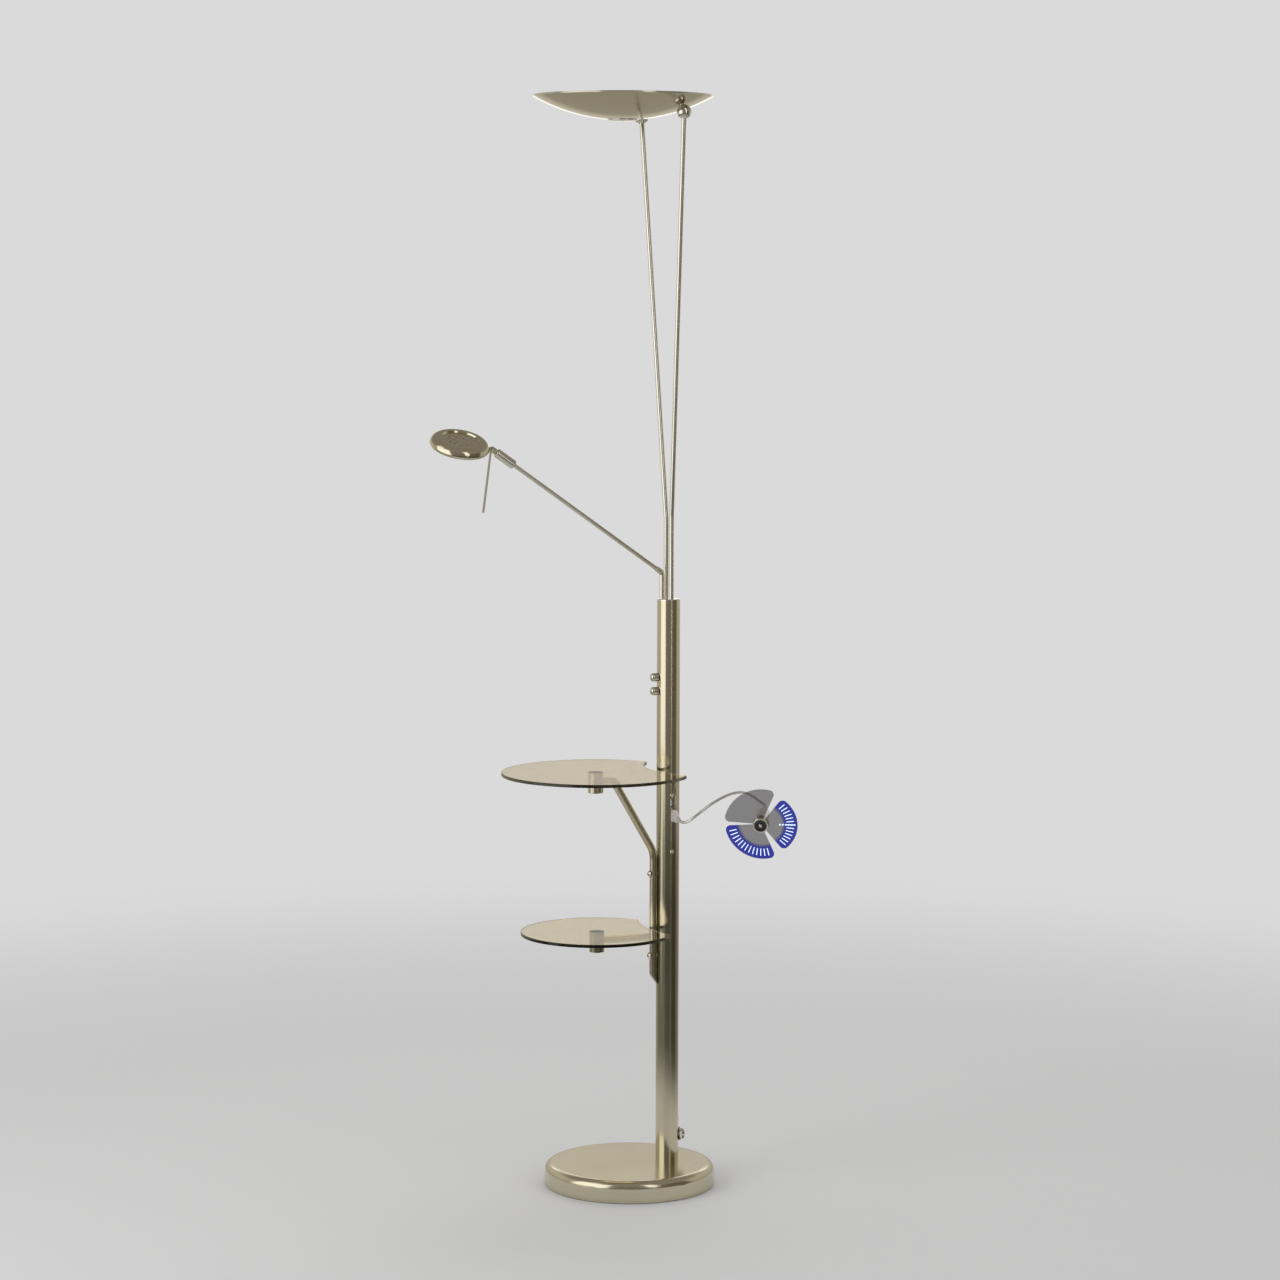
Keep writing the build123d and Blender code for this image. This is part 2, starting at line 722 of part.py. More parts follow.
def disc_top():
    """The polished disc meets the bowl at its own edge."""
    ball = dish_ball_r()
    return dish_ball_centre().Z - sqrt(ball ** 2 - DISC_R ** 2)


def dish_bottom_disc():
    """Polished disc whose upper face follows the bowl."""
    low = TOTAL_H - DISH_DEPTH - DISC_T
    disc = post(DISC_R, low, disc_top(), DISH_X)
    disc = fillet(disc.edges().sort_by(Axis.Z)[0], 1.0)
    disc -= Pos(dish_ball_centre()) * Sphere(dish_ball_r())
    return disc - post(CENTRE_BOLT_R, 0, TOTAL_H, DISH_X)


def tray_floor():
    return TOTAL_H - DISH_DEPTH + DISH_WALL + TRAY_LIFT


def dish_centre_bolt():
    """Flush bolt through the disc and the bowl, with a spacer and a nut over the tray."""
    low = TOTAL_H - DISH_DEPTH - DISC_T
    inside = TOTAL_H - DISH_DEPTH + DISH_WALL
    bolt = post(CENTRE_BOLT_R, low, tray_floor() + TRAY_T + 3.5)
    bolt += post(9, inside + SEAT, tray_floor())
    bolt += hexagon(10, tray_floor() + TRAY_T, tray_floor() + TRAY_T + 3)
    return Pos(DISH_X, 0, 0) * bolt


def tray_solid(shrink):
    """The tray's sloping block, moved inward by its wall and open at the top."""
    low = tray_floor() + shrink
    high = tray_floor() + TRAY_H
    lift = (low - tray_floor()) / TRAY_H
    length = TRAY_FLOOR_L + (TRAY_L - TRAY_FLOOR_L) * lift - 2 * shrink
    width = TRAY_FLOOR_W + (TRAY_W - TRAY_FLOOR_W) * lift - 2 * shrink
    bottom = Pos(0, 0, low) * Rectangle(width, length)
    top = Pos(0, 0, high) * Rectangle(TRAY_W - 2 * shrink, TRAY_L - 2 * shrink)
    return loft([bottom, top], ruled=True)


def lamp_tray():
    """Folded reflector tray, long side across the lamp, on the centre bolt's spacer."""
    tray = tray_solid(0) - tray_solid(TRAY_T)
    return Pos(DISH_X, 0, 0) * (tray - post(CENTRE_BOLT_R + FIT, 0, TOTAL_H))


def lamp_sockets():
    """Ceramic sockets that stand on the tray and hold the tube's ends."""
    sockets = []
    low = tray_floor() + TRAY_T
    for side in (-1, 1):
        near = side * (TUBE_L / 2 - 5)
        far = near - side * SOCKET_L
        ends = sorted((near + side * 3, far))
        socket = block((-SOCKET_W / 2, ends[0], low), (SOCKET_W / 2, ends[1], low + SOCKET_H))
        socket = fillet(socket.edges().filter_by(Axis.Z), 2)
        sockets.append(Pos(DISH_X, 0, 0) * (socket - tube_hole(side)))
    return Compound(children=sockets)


def tube_z():
    return tray_floor() + TRAY_T + SOCKET_H * 0.55


def tube_hole(side):
    """Blind bore for the tube's end contact."""
    z = tube_z()
    near = side * (TUBE_L / 2 - SOCKET_L - 6)
    return bar(3.5, (0, near, z), (0, side * (TUBE_L / 2 - 6), z))


def halogen_tube():
    """Quartz tube with its ceramic end contacts in the sockets."""
    z = tube_z()
    glass = TUBE_L / 2 - SOCKET_L - 8
    tube = bar(TUBE_R, (0, -glass, z), (0, glass, z))
    tube = fillet(tube.edges(), 2)
    contact = TUBE_L / 2 - 6.2
    tube += bar(3.3, (0, -contact, z), (0, contact, z))
    return Pos(DISH_X, 0, 0) * tube


def guard_glass():
    """Guard plate on the tray's upper edge."""
    low = tray_floor() + TRAY_H
    plate = block((-TRAY_W / 2, -TRAY_L / 2, low), (TRAY_W / 2, TRAY_L / 2, low + GUARD_T))
    plate = fillet(plate.edges().filter_by(Axis.Z), 5)
    return Pos(DISH_X, 0, 0) * plate


# Reading arm

def arm_frame():
    """Own X along the arm, Z over it, with zero at the elbow's corner."""
    rise = radians(ARM_RISE)
    along = (-cos(rise), 0, sin(rise))
    over = (sin(rise), 0, cos(rise))
    return Plane(origin=(POLE_X + STUB_DX, 0, ELBOW_Z), x_dir=along, z_dir=over).location


def arm_stub():
    """Upright stub in the cap's bore, with its retaining flange and the elbow."""
    x = POLE_X + STUB_DX
    low = POLE_TOP - CAP_SPIGOT - FIT - RETAINER_T
    tip = (arm_frame() * Pos(ELBOW_LEG, 0, 0)).position
    path = FilletPolyline((x, 0, low), (x, 0, ELBOW_Z), tip, radius=ELBOW_R)
    stub = swept(STUB_R, path)
    stub = fillet(stub.faces().sort_by(Axis.X)[0].edges(), 0.8)
    reach = (ARM_R + FIT / 2, (ELBOW_LEG - 10, 0, 0), (ELBOW_LEG + 1, 0, 0))
    stub -= arm_frame() * bar(*reach)
    flange = post(RETAINER_R, low, low + RETAINER_T, x)
    wires = post(2.4, low - 1, ELBOW_Z - 8, x)
    return stub + flange - wires


def arm_tube():
    end = ARM_REACH - PIN_TO_SLEEVE - SLEEVE_L + SLEEVE_DEPTH
    start = ELBOW_LEG - 10
    tube = bar(ARM_R, (start, 0, 0), (end, 0, 0)) - bar(ARM_BORE, (start - 1, 0, 0), (end + 1, 0, 0))
    return arm_frame() * tube


# Sleeve and fork

def pin_frame():
    """Own X along the arm, Y along the head's pin, with zero at the pin."""
    return arm_frame() * Pos(ARM_REACH, 0, 0) * Rot(SLEEVE_TWIST, 0, 0)


def arm_sleeve():
    back = -PIN_TO_SLEEVE - SLEEVE_L
    body = bar(SLEEVE_R, (back, 0, 0), (-PIN_TO_SLEEVE, 0, 0))
    body = fillet(body.edges().filter_by(GeomType.CIRCLE), SLEEVE_ROUND)
    body -= bar(ARM_R + FIT, (back - 1, 0, 0), (back + SLEEVE_DEPTH + 1, 0, 0))
    body -= bar(fork_plug_r(), (-PIN_TO_SLEEVE - 8, 0, 0), (0, 0, 0))
    return pin_frame() * (body - bar(1.5, (back, 0, 0), (0, 0, 0)))


def fork_plug_r():
    return SLEEVE_R - 2


def head_fork():
    """Two cheeks on a plug that is fixed in the sleeve's end."""
    half = LUG_W / 2 + FORK_GAP
    outside = half + FORK_CHEEK
    plug = bar(fork_plug_r(), (-PIN_TO_SLEEVE - 7.5, 0, 0), (-PIN_TO_SLEEVE, 0, 0))
    tongue = block((-PIN_TO_SLEEVE, -outside, -LUG_R), (0, outside, LUG_R))
    tongue += bar(LUG_R, (0, -outside, 0), (0, outside, 0))
    fork = plug + tongue
    fork -= block((-LUG_R - 1.2, -half, -10), (10, half, 10))
    fork -= bar(PIN_R, (0, -20, 0), (0, 20, 0))
    return pin_frame() * (fork - bar(1.2, (-PIN_TO_SLEEVE - 9, 0, 0), (0, 0, 0)))


def fork_pin():
    """Pin with a small head at each side of the fork."""
    outside = LUG_W / 2 + FORK_GAP + FORK_CHEEK
    pin = bar(PIN_R, (0, -outside, 0), (0, outside, 0))
    for side in (-1, 1):
        pin += bar(PIN_R + 0.9, (0, side * outside, 0), (0, side * (outside + 0.9), 0))
    return pin_frame() * pin


# Reading head

def head_frame():
    """Own X from the pin to the head's centre, Z out of the head's top."""
    return pin_frame() * Rot(0, HEAD_TILT, 0)


def head_centre():
    return head_frame() * Pos(HEAD_OUT, 0, HEAD_DROP)


def head_outline(shrink):
    """Half section: recess, crest, rounded side and hem, moved inward by a wall."""
    half = HEAD_T / 2
    top, low, waist = half - shrink, -half, half - HEAD_WAIST
    recess = top - RECESS_D
    radius = HEAD_R - shrink
    crest, hem = CREST_R - shrink * 0.4, HEM_R - shrink
    inner = RECESS_R + shrink * 0.4
    round_out, round_in = sin(radians(45)), 1 - cos(radians(45))
    shoulder = (crest + (radius - crest) * round_out, top - (top - waist) * round_in)
    belly = (radius - (radius - hem) * round_in, waist - (waist - low) * round_out)
    return (
        Line((0, recess), (inner, recess)),
        Line((inner, recess), (inner + RECESS_D * 0.6, top)),
        Line((inner + RECESS_D * 0.6, top), (crest, top)),
        ThreePointArc((crest, top), shoulder, (radius, waist)),
        ThreePointArc((radius, waist), belly, (hem, low)),
        Line((hem, low), (0, low)),
        Line((0, low), (0, recess)),
    )


def head_shell():
    """Spun shell, open below, with rings of vents in its recess."""
    shell = turned(*head_outline(0)) - turned(*head_outline(HEAD_WALL))
    for radius, count in VENT_RINGS:
        for turn in range(count):
            hole = Rot(0, 0, turn * 360 / count) * post(VENT_R, 0, HEAD_T, radius)
            shell -= hole
    return head_centre() * shell


def bezel_radius():
    return HEM_R - HEAD_WALL - FIT


def head_bezel():
    """Ring in the shell's hem with a seat for the lens."""
    low = -HEAD_T / 2
    ring = post(bezel_radius(), low, low + BEZEL_T) - post(BEZEL_IN, low - 1, low + BEZEL_T + 1)
    ring -= post(lens_radius() + FIT, low + 1, low + BEZEL_T + 1)
    return head_centre() * ring


def lens_radius():
    return (bezel_radius() + BEZEL_IN) / 2


def head_lens():
    low = -HEAD_T / 2 + 1
    return head_centre() * post(lens_radius(), low, low + LENS_T)


def head_socket():
    """Ceramic socket against the shell's wall at the lug."""
    wall = -HEAD_R + HEAD_WALL
    low = -HEAD_T / 2 + 1 + LENS_T + 0.3
    socket = block((wall + 0.4, -6, low), (wall + 15, 6, -low))
    inside = turned(*head_outline(HEAD_WALL + 0.05))
    socket = socket & inside
    socket -= bar(0.8, (wall + 8, -2.5, 0), (wall + 20, -2.5, 0))
    socket -= bar(0.8, (wall + 8, 2.5, 0), (wall + 20, 2.5, 0))
    return head_centre() * socket


def head_bulb():
    """Capsule bulb with its two pins in the socket."""
    foot = -HEAD_R + HEAD_WALL + 15
    body = bar(CAPSULE_R, (foot + 0.2, 0, 0), (foot + CAPSULE_L, 0, 0))
    body = fillet(body.edges().sort_by(Axis.X)[-1], CAPSULE_R - 0.5)
    for y in (-2.5, 2.5):
        body += bar(0.7, (foot - 6, y, 0), (foot + 1, y, 0))
    return head_centre() * body


def head_lug():
    """Flat lug between the fork's cheeks, fixed to the head's side."""
    half = LUG_W / 2
    reach = HEAD_OUT - HEAD_R + 5
    lug = block((0, -half, -LUG_R), (reach, half, LUG_R)) + bar(LUG_R, (0, -half, 0), (0, half, 0))
    lug -= bar(PIN_R + FIT, (0, -9, 0), (0, 9, 0))
    lug -= handle_place() * post(HANDLE_R - 0.6, -1, 1.8)
    head = Pos(HEAD_OUT, 0, HEAD_DROP) * turned(*head_outline(0))
    return head_frame() * (lug - head)


def handle_place():
    """Own Z up the handle, with zero under the lug."""
    return Pos(HANDLE_X, 0, -LUG_R) * Rot(0, HANDLE_LEAN, 0)


def handle_rod():
    """Turning handle screwed into the lug's underside."""
    rod_solid = post(HANDLE_R, -HANDLE_L, -0.15)
    rod_solid = fillet(rod_solid.edges().sort_by(Axis.Z)[0], 1.0)
    rod_solid += post(HANDLE_R - 0.65, -0.15, 1.6)
    return head_frame() * handle_place() * rod_solid


# USB fan

def usb_plug_grip():
    low = (POLE_X - PLUG_W / 2, PLUG_FRONT, PLUG_Z - PLUG_H / 2)
    grip = block(low, (POLE_X + PLUG_W / 2, PLUG_BACK, PLUG_Z + PLUG_H / 2))
    grip = fillet(grip.edges().filter_by(Axis.Y), 2)
    grip = fillet(grip.faces().sort_by(Axis.Y)[0].edges(), 1.2)
    start = (POLE_X, PLUG_FRONT - 1, PLUG_Z)
    return grip - bar(NECK_R, start, (POLE_X, PLUG_FRONT + NECK_SUNK, PLUG_Z))


def usb_plug_shell():
    """Metal tongue shell with its plastic filling on one side."""
    half_h, half_w = PLUG_SHELL_H / 2, PLUG_SHELL_W / 2
    back = PLUG_BACK + PLUG_SHELL_L
    thin = PLUG_SHELL_WALL
    shell = block((-half_w, PLUG_BACK, -half_h), (half_w, back, half_h))
    hollow = block((-0.1, PLUG_BACK + 1, thin - half_h), (half_w - thin, back + 1, half_h - thin))
    return Pos(POLE_X, 0, PLUG_Z) * (shell - hollow)


def fan_way():
    """Direction that the fan blows in."""
    azimuth, elevation = radians(FAN_AZIMUTH), radians(FAN_ELEVATION)
    flat = cos(elevation)
    return Vector(sin(azimuth) * flat, -cos(azimuth) * flat, sin(elevation))


def fan_frame():
    """Own Z back along the fan's axis from the hub's front face."""
    return Plane(origin=FAN_FRONT, z_dir=-fan_way()).location


def fan_length():
    return FAN_HUB_L + RUN_GAP + FAN_RING_T + HOUSING_L


def neck_points():
    start = Vector(POLE_X, PLUG_FRONT + NECK_SUNK, PLUG_Z)
    rear = FAN_FRONT - fan_way() * fan_length()
    route = [Vector(*point) for point in NECK_ROUTE]
    return [start] + route + [rear - fan_way() * NECK_SOCKET, rear]


def corner_radii(points):
    """Each arc is as large as its two runs allow."""
    radii = []
    for before, point, after in zip(points, points[1:], points[2:]):
        first, second = point - before, after - point
        half_turn = radians(first.get_angle(second)) / 2
        radii.append(0.45 * min(first.length, second.length) / tan(half_turn))
    return radii


def neck_tube(points):
    path = FilletPolyline(*points, radius=corner_radii(points))
    solid = swept(NECK_R, path)
    print("neck tube", round(path.length, 1), "mm, least radius", round(min(corner_radii(points)), 1))
    return solid


def neck_joint():
    """Centre of the bend joint, in the middle of its run, and the run's direction."""
    first, second = neck_points()[NECK_SPLIT:NECK_SPLIT + 2]
    return (first + second) * 0.5, (second - first).normalized()


def gooseneck_lower():
    """From inside the plug's grip to the joint, with a round end there."""
    centre = neck_joint()[0]
    neck = neck_tube(neck_points()[:NECK_SPLIT + 1] + [centre])
    return neck + Pos(centre) * Sphere(NECK_R)


def gooseneck_upper():
    """From the joint to the fan, hollowed over the round end that it turns on."""
    centre, way = neck_joint()
    clear = (NECK_R + 2 * FIT) * tan(radians(NECK_BEND)) + 0.2
    start = centre + way * clear
    neck = neck_tube([start] + neck_points()[NECK_SPLIT + 1:])
    return neck - Pos(centre) * Sphere(NECK_R + FIT)


def fan_ring():
    low = FAN_HUB_L + RUN_GAP
    ring = post(FAN_RING_R, low, low + FAN_RING_T) - post(5, low - 1, low + FAN_RING_T + 1)
    return fan_frame() * ring


def fan_housing():
    low = FAN_HUB_L + RUN_GAP + FAN_RING_T
    top = low + HOUSING_L
    body = post(HOUSING_R, low, top)
    body = fillet(body.edges().sort_by(Axis.Z)[-1], 2)
    body -= post(HOUSING_R - HOUSING_WALL, low - 1, top - 3)
    for step in range(3):
        groove_z = low + 6 + 3 * step
        band = post(HOUSING_R + 1, groove_z, groove_z + 0.8) - post(HOUSING_R - 0.4, 0, top)
        body -= band
    return fan_frame() * body


def fan_motor():
    """Motor can against the housing's front ring, with a bore for the spindle."""
    low = FAN_HUB_L + RUN_GAP + FAN_RING_T
    can = post(MOTOR_R, low, low + MOTOR_L)
    return fan_frame() * (can - post(FAN_SPINDLE_R + FIT, 0, low + MOTOR_L - 3))


def fan_hub():
    """Cup with a chrome rim, a recessed face and the spindle into the motor."""
    hub = post(FAN_HUB_R, 0, FAN_HUB_L)
    hub = fillet(hub.edges().sort_by(Axis.Z)[0], 1.2)
    hub -= post(FAN_HUB_R - 2.5, -1, 1.6)
    end = FAN_HUB_L + RUN_GAP + FAN_RING_T + MOTOR_L - 4
    hub += post(FAN_SPINDLE_R, FAN_HUB_L - 1, end)
    hub -= blade_slots()
    return fan_frame() * hub


def blade_plate(thickness, tip, trim):
    """One broad blade as a flat sector about its own radial axis, along +X."""
    half = radians(BLADE_SWEEP / 2 - trim)
    corner = (tip * cos(half), tip * sin(half))
    root = (BLADE_ROOT * cos(half), BLADE_ROOT * sin(half))
    outline = (
        Line(root, corner),
        ThreePointArc(corner, (tip, 0), (corner[0], -corner[1])),
        Line((corner[0], -corner[1]), (root[0], -root[1])),
        ThreePointArc((root[0], -root[1]), (BLADE_ROOT, 0), root),
    )
    face = make_face(outline)
    if trim == 0:
        face = fillet(face.vertices().group_by(Axis.X)[-1], BLADE_CORNER)
    return extrude(face, thickness / 2, both=True)


def blade_place(turn):
    """Pitched about its radial axis, half way along the hub."""
    middle = FAN_HUB_L * 0.5
    return Rot(0, 0, turn * 360 / BLADE_COUNT) * Pos(0, 0, middle) * Rot(BLADE_PITCH, 0, 0)


def blade_slots():
    """Slots in the hub's side that the blades' roots are clipped into."""
    slots = [blade_place(turn) * blade_plate(BLADE_T, BLADE_TIP, -2) for turn in range(BLADE_COUNT)]
    return Compound(children=slots)


def light_spots():
    """Distances of the lights along the first blade."""
    first, last = BLADE_TIP * 0.52, BLADE_TIP * 0.92
    return [first + (last - first) * step / (LIGHT_COUNT - 1) for step in range(LIGHT_COUNT)]


def fan_blades():
    blades = []
    for turn in range(BLADE_COUNT):
        plate = blade_plate(BLADE_T, BLADE_TIP, 0)
        if turn == 0:
            for spot in light_spots():
                plate -= post(LIGHT_R, -2, 2, spot)
        blades.append(blade_place(turn) * plate)
    return fan_frame() * Compound(children=blades)


def fan_lights():
    """A row of small lights set through the first blade."""
    lights = [blade_place(0) * post(LIGHT_R, -0.9, 0.9, spot) for spot in light_spots()]
    return fan_frame() * Compound(children=lights)


def build_all():
    """Every sub-part under its node's name."""
    return {
        "base_cover": base_cover(),
        "base_weight": base_weight(),
        "base_pad": base_pad(),
        "foot_bolt": foot_bolt(),
        "foot_plug": foot_plug(),
        "pole": pole(),
        "pole_top_cap": pole_top_cap(),
        "pole_wiring": pole_wiring(),
        "cable_gland": cable_gland(),
        "gland_nuts": gland_nuts(),
        "earth_screw": earth_screw(),
        "dimmer_modules": dimmer_modules(),
        "dimmer_nuts": dimmer_nuts(),
        "upper_dimmer_knob": dimmer_knob(KNOB_Z[0]),
        "lower_dimmer_knob": dimmer_knob(KNOB_Z[1]),
        "usb_module_case": usb_module_case(),
        "usb_ports": usb_ports(),
        "usb_screws": usb_screws(),
        "upper_shelf_glass": shelf_glass(UPPER_R, UPPER_REACH, UPPER_TOP_Z, UPPER_NOTCH),
        "lower_shelf_glass": shelf_glass(LOWER_R, LOWER_REACH, LOWER_TOP_Z, LOWER_NOTCH),
        "shelf_bosses": shelf_bosses(),
        "bracket_tube": bracket_tube(),
        "lower_arm_tube": lower_arm_tube(),
        "bracket_screws": bracket_screws(),
        "front_rod": rod(-1),
        "rear_rod": rod(1),
        "rod_end_balls": rod_end_balls(),
        "clamp_left_halves": clamp_halves(-1),
        "clamp_right_halves": clamp_halves(1),
        "clamp_nuts": clamp_nuts(),
        "dish_shell": dish_shell(),
        "dish_bottom_disc": dish_bottom_disc(),
        "dish_centre_bolt": dish_centre_bolt(),
        "lamp_tray": lamp_tray(),
        "lamp_sockets": lamp_sockets(),
        "halogen_tube": halogen_tube(),
        "guard_glass": guard_glass(),
        "arm_stub": arm_stub(),
        "arm_tube": arm_tube(),
        "arm_sleeve": arm_sleeve(),
        "head_fork": head_fork(),
        "fork_pin": fork_pin(),
        "head_shell": head_shell(),
        "head_bezel": head_bezel(),
        "head_lens": head_lens(),
        "head_socket": head_socket(),
        "head_bulb": head_bulb(),
        "head_lug": head_lug(),
        "handle_rod": handle_rod(),
        "usb_plug_grip": usb_plug_grip(),
        "usb_plug_shell": usb_plug_shell(),
        "gooseneck_lower": gooseneck_lower(),
        "gooseneck_upper": gooseneck_upper(),
        "fan_housing": fan_housing(),
        "fan_ring": fan_ring(),
        "fan_motor": fan_motor(),
        "fan_hub": fan_hub(),
        "fan_blades": fan_blades(),
        "fan_lights": fan_lights(),
    }


def main():
    os.makedirs("parts", exist_ok=True)
    for name, shape in build_all().items():
        export_step(shape, "parts/" + name + ".step")


main()
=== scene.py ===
import json
import math

import bmesh
import bpy
from bpy.props import FloatProperty, FloatVectorProperty, IntProperty, PointerProperty
from mathutils import Matrix, Vector


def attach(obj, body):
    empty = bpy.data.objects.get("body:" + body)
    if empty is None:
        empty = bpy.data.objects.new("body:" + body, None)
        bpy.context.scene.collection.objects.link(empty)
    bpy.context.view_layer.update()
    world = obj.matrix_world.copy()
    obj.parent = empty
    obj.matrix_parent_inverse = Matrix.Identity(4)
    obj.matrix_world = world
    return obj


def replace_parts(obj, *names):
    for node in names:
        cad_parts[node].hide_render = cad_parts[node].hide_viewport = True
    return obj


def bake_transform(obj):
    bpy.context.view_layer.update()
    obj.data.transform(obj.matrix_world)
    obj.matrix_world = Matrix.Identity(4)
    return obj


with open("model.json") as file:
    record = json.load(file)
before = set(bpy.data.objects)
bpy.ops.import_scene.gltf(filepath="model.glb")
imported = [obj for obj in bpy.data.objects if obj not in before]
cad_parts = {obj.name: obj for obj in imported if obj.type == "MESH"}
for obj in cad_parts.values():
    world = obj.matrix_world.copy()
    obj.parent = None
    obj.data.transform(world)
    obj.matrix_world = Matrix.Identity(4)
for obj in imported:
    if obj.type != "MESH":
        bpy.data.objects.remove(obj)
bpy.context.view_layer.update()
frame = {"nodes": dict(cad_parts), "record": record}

bl_info = {
    "name": "Uplighter lamp with side tables",
    "version": (1, 0, 0),
    "blender": (4, 5, 0),
    "location": "3D View > Sidebar > Lamp",
    "description": "Dresses the packed floor lamp with its finishes and fine pieces",
    "category": "Object",
}

MM = 0.001
UP = Vector((0, 0, 1))


def mm(*values):
    """A point given in millimetres."""
    return Vector(values) * MM


def around(azimuth, elevation=0.0):
    """Unit vector towards an azimuth, 0 towards -Y and 90 towards +X, in degrees."""
    a, e = math.radians(azimuth), math.radians(elevation)
    return Vector((math.sin(a) * math.cos(e), -math.cos(a) * math.cos(e), math.sin(e)))


def place_of(origin, own_z, own_x):
    """The matrix of a place, from its origin and two of its own directions."""
    z = Vector(own_z).normalized()
    y = z.cross(Vector(own_x)).normalized()
    return Matrix.Translation(origin) @ Matrix((y.cross(z), y, z)).transposed().to_4x4()


# Places on the lamp that the pieces and the finishes share

POLE_AXIS = mm(67, 0, 0)
DISH_AXIS = mm(-15.6, 0, 0)
ARM_START = mm(55.5, 0, 1021.8)
ARM_WAY = Vector((-0.81815, 0, 0.57501))
HEAD_CENTRE = mm(-291.193, 10.62, 1238.609)
HEAD_UP = Vector((0.04601, -0.37843, 0.92449))
UPPER_KNOB = mm(0, 0, 848.8)
LOWER_KNOB = mm(0, 0, 825.9)
UPPER_SHELF = mm(-61.0, 0, 696.0)
LOWER_SHELF = mm(-58.6, 0, 430.2)
UPPER_SHELF_R = 0.1555
LOWER_SHELF_R = 0.126
FAN_FRONT = mm(182.5, -122.0, 610.7)
FAN_WAY = around(-28.0, -15.0)
FAN_PLACE = place_of(FAN_FRONT, -FAN_WAY, (0.883, -0.4695, 0))
BLADE_TIP = 0.0605
NECK_ROUTE = (
    (67, -38, 618.5), (67, -50, 618.5), (66.5, -62, 613.5), (73, -76, 616), (88, -82, 629),
    (109, -80, 643.2), (132, -74, 652.8), (155, -66, 658.8), (182, -55, 658.4), (205, -43, 646),
    (219, -38, 636), (224, -47, 631.5),
)


# Tree building, for shaders and for geometry

class Wire:
    """A node socket on which Python's operators add Math nodes."""

    def __init__(self, tree, socket):
        self.tree = tree
        self.socket = socket

    def math(self, operation, *values, clamp=False):
        settings = {"operation": operation, "use_clamp": clamp}
        made = self.tree.node("ShaderNodeMath", settings, dict(enumerate((self, *values))))
        return Wire(self.tree, made.outputs[0])

    def __add__(self, other):
        return self.math("ADD", other)

    def __sub__(self, other):
        return self.math("SUBTRACT", other)

    def __mul__(self, other):
        return self.math("MULTIPLY", other)

    def __truediv__(self, other):
        return self.math("DIVIDE", other)

    def __rsub__(self, other):
        return (self * -1.0) + other

    __radd__ = __add__
    __rmul__ = __mul__

    def between(self, low, high):
        """0 below low, 1 above high, and a smooth step from one to the other."""
        settings = {"interpolation_type": "SMOOTHSTEP"}
        sockets = {"Value": self, "From Min": low, "From Max": high}
        return Wire(self.tree, self.tree.node("ShaderNodeMapRange", settings, sockets).outputs[0])

    def inside(self, low, high, soft):
        """1 from low to high, and 0 outside, with soft ends."""
        return self.between(low - soft, low) * (1 - self.between(high, high + soft))


class Tree:
    """A node tree that is built one node at a time."""

    def __init__(self, node_tree):
        self.nodes = node_tree.nodes
        self.links = node_tree.links

    def node(self, kind, settings=None, sockets=None):
        made = self.nodes.new(kind)
        settings = dict(settings or {})
        stops = settings.pop("stops", None)
        for key, value in settings.items():
            setattr(made, key, value)
        if stops:
            for place, colour in stops[1:-1]:
                made.color_ramp.elements.new(place).color = (*colour, 1)
            for end, (place, colour) in ((0, stops[0]), (-1, stops[-1])):
                made.color_ramp.elements[end].position = place
                made.color_ramp.elements[end].color = (*colour, 1)
        for key, value in (sockets or {}).items():
            self.plug(value, made.inputs[key])
        return made

    def plug(self, value, socket):
        """Joins a wire, a socket or a node's first output to a socket, or sets the socket's value."""
        if isinstance(value, Wire):
            self.links.new(value.socket, socket)
        elif isinstance(value, bpy.types.NodeSocket):
            self.links.new(value, socket)
        elif isinstance(value, bpy.types.Node):
            self.links.new(value.outputs[0], socket)
        elif socket.type == "RGBA" and len(value) == 3:
            socket.default_value = (*value, 1)
        else:
            socket.default_value = value

    def wire(self, node, output=0):
        return Wire(self, node.outputs[output])

    def split(self, vector):
        """A vector's three parts as wires."""
        made = self.node("ShaderNodeSeparateXYZ", None, {0: vector})
        return [self.wire(made, number) for number in range(3)]

    def object_place(self, centre=(0, 0, 0), turn=(0, 0, 0)):
        """Object coordinates, centred and turned to a piece's own axis."""
        where = self.node("ShaderNodeTexCoord").outputs["Object"]
        settings = {"vector_type": "TEXTURE"}
        return self.node("ShaderNodeMapping", settings, {"Vector": where, "Location": centre, "Rotation": turn})

    def noise(self, vector, scale, detail=3.0, stretch=None):
        if stretch:
            vector = self.node("ShaderNodeVectorMath", {"operation": "MULTIPLY"}, {0: vector, 1: stretch})
        sockets = {"Vector": vector, "Scale": scale, "Detail": detail}
        return self.wire(self.node("ShaderNodeTexNoise", None, sockets))

    def lines(self, travel, scale, detail=2.0):
        """Noise that changes along one measure only, so it draws lines across it."""
        sockets = {"W": travel, "Scale": scale, "Detail": detail}
        return self.wire(self.node("ShaderNodeTexNoise", {"noise_dimensions": "1D"}, sockets))

    def blend(self, mask, first, second):
        """A colour mix by a mask."""
        made = self.node("ShaderNodeMix", {"data_type": "RGBA"}, {0: mask, 6: first, 7: second})
        return made.outputs[2]


class Finish(Tree):
    """A material on one Principled shader."""

    def __init__(self, name, **constants):
        self.material = bpy.data.materials.new(name)
        self.material.use_nodes = True
        super().__init__(self.material.node_tree)
        self.surface = self.nodes["Principled BSDF"]
        self.feed(**constants)

    def bump(self, height, strength, distance):
        sockets = {"Height": height, "Strength": strength, "Distance": distance}
        self.plug(self.node("ShaderNodeBump", None, sockets), self.surface.inputs["Normal"])

    def feed(self, **values):
        for key, value in values.items():
            self.plug(value, self.surface.inputs[key.replace("_", " ")])
        return self.material


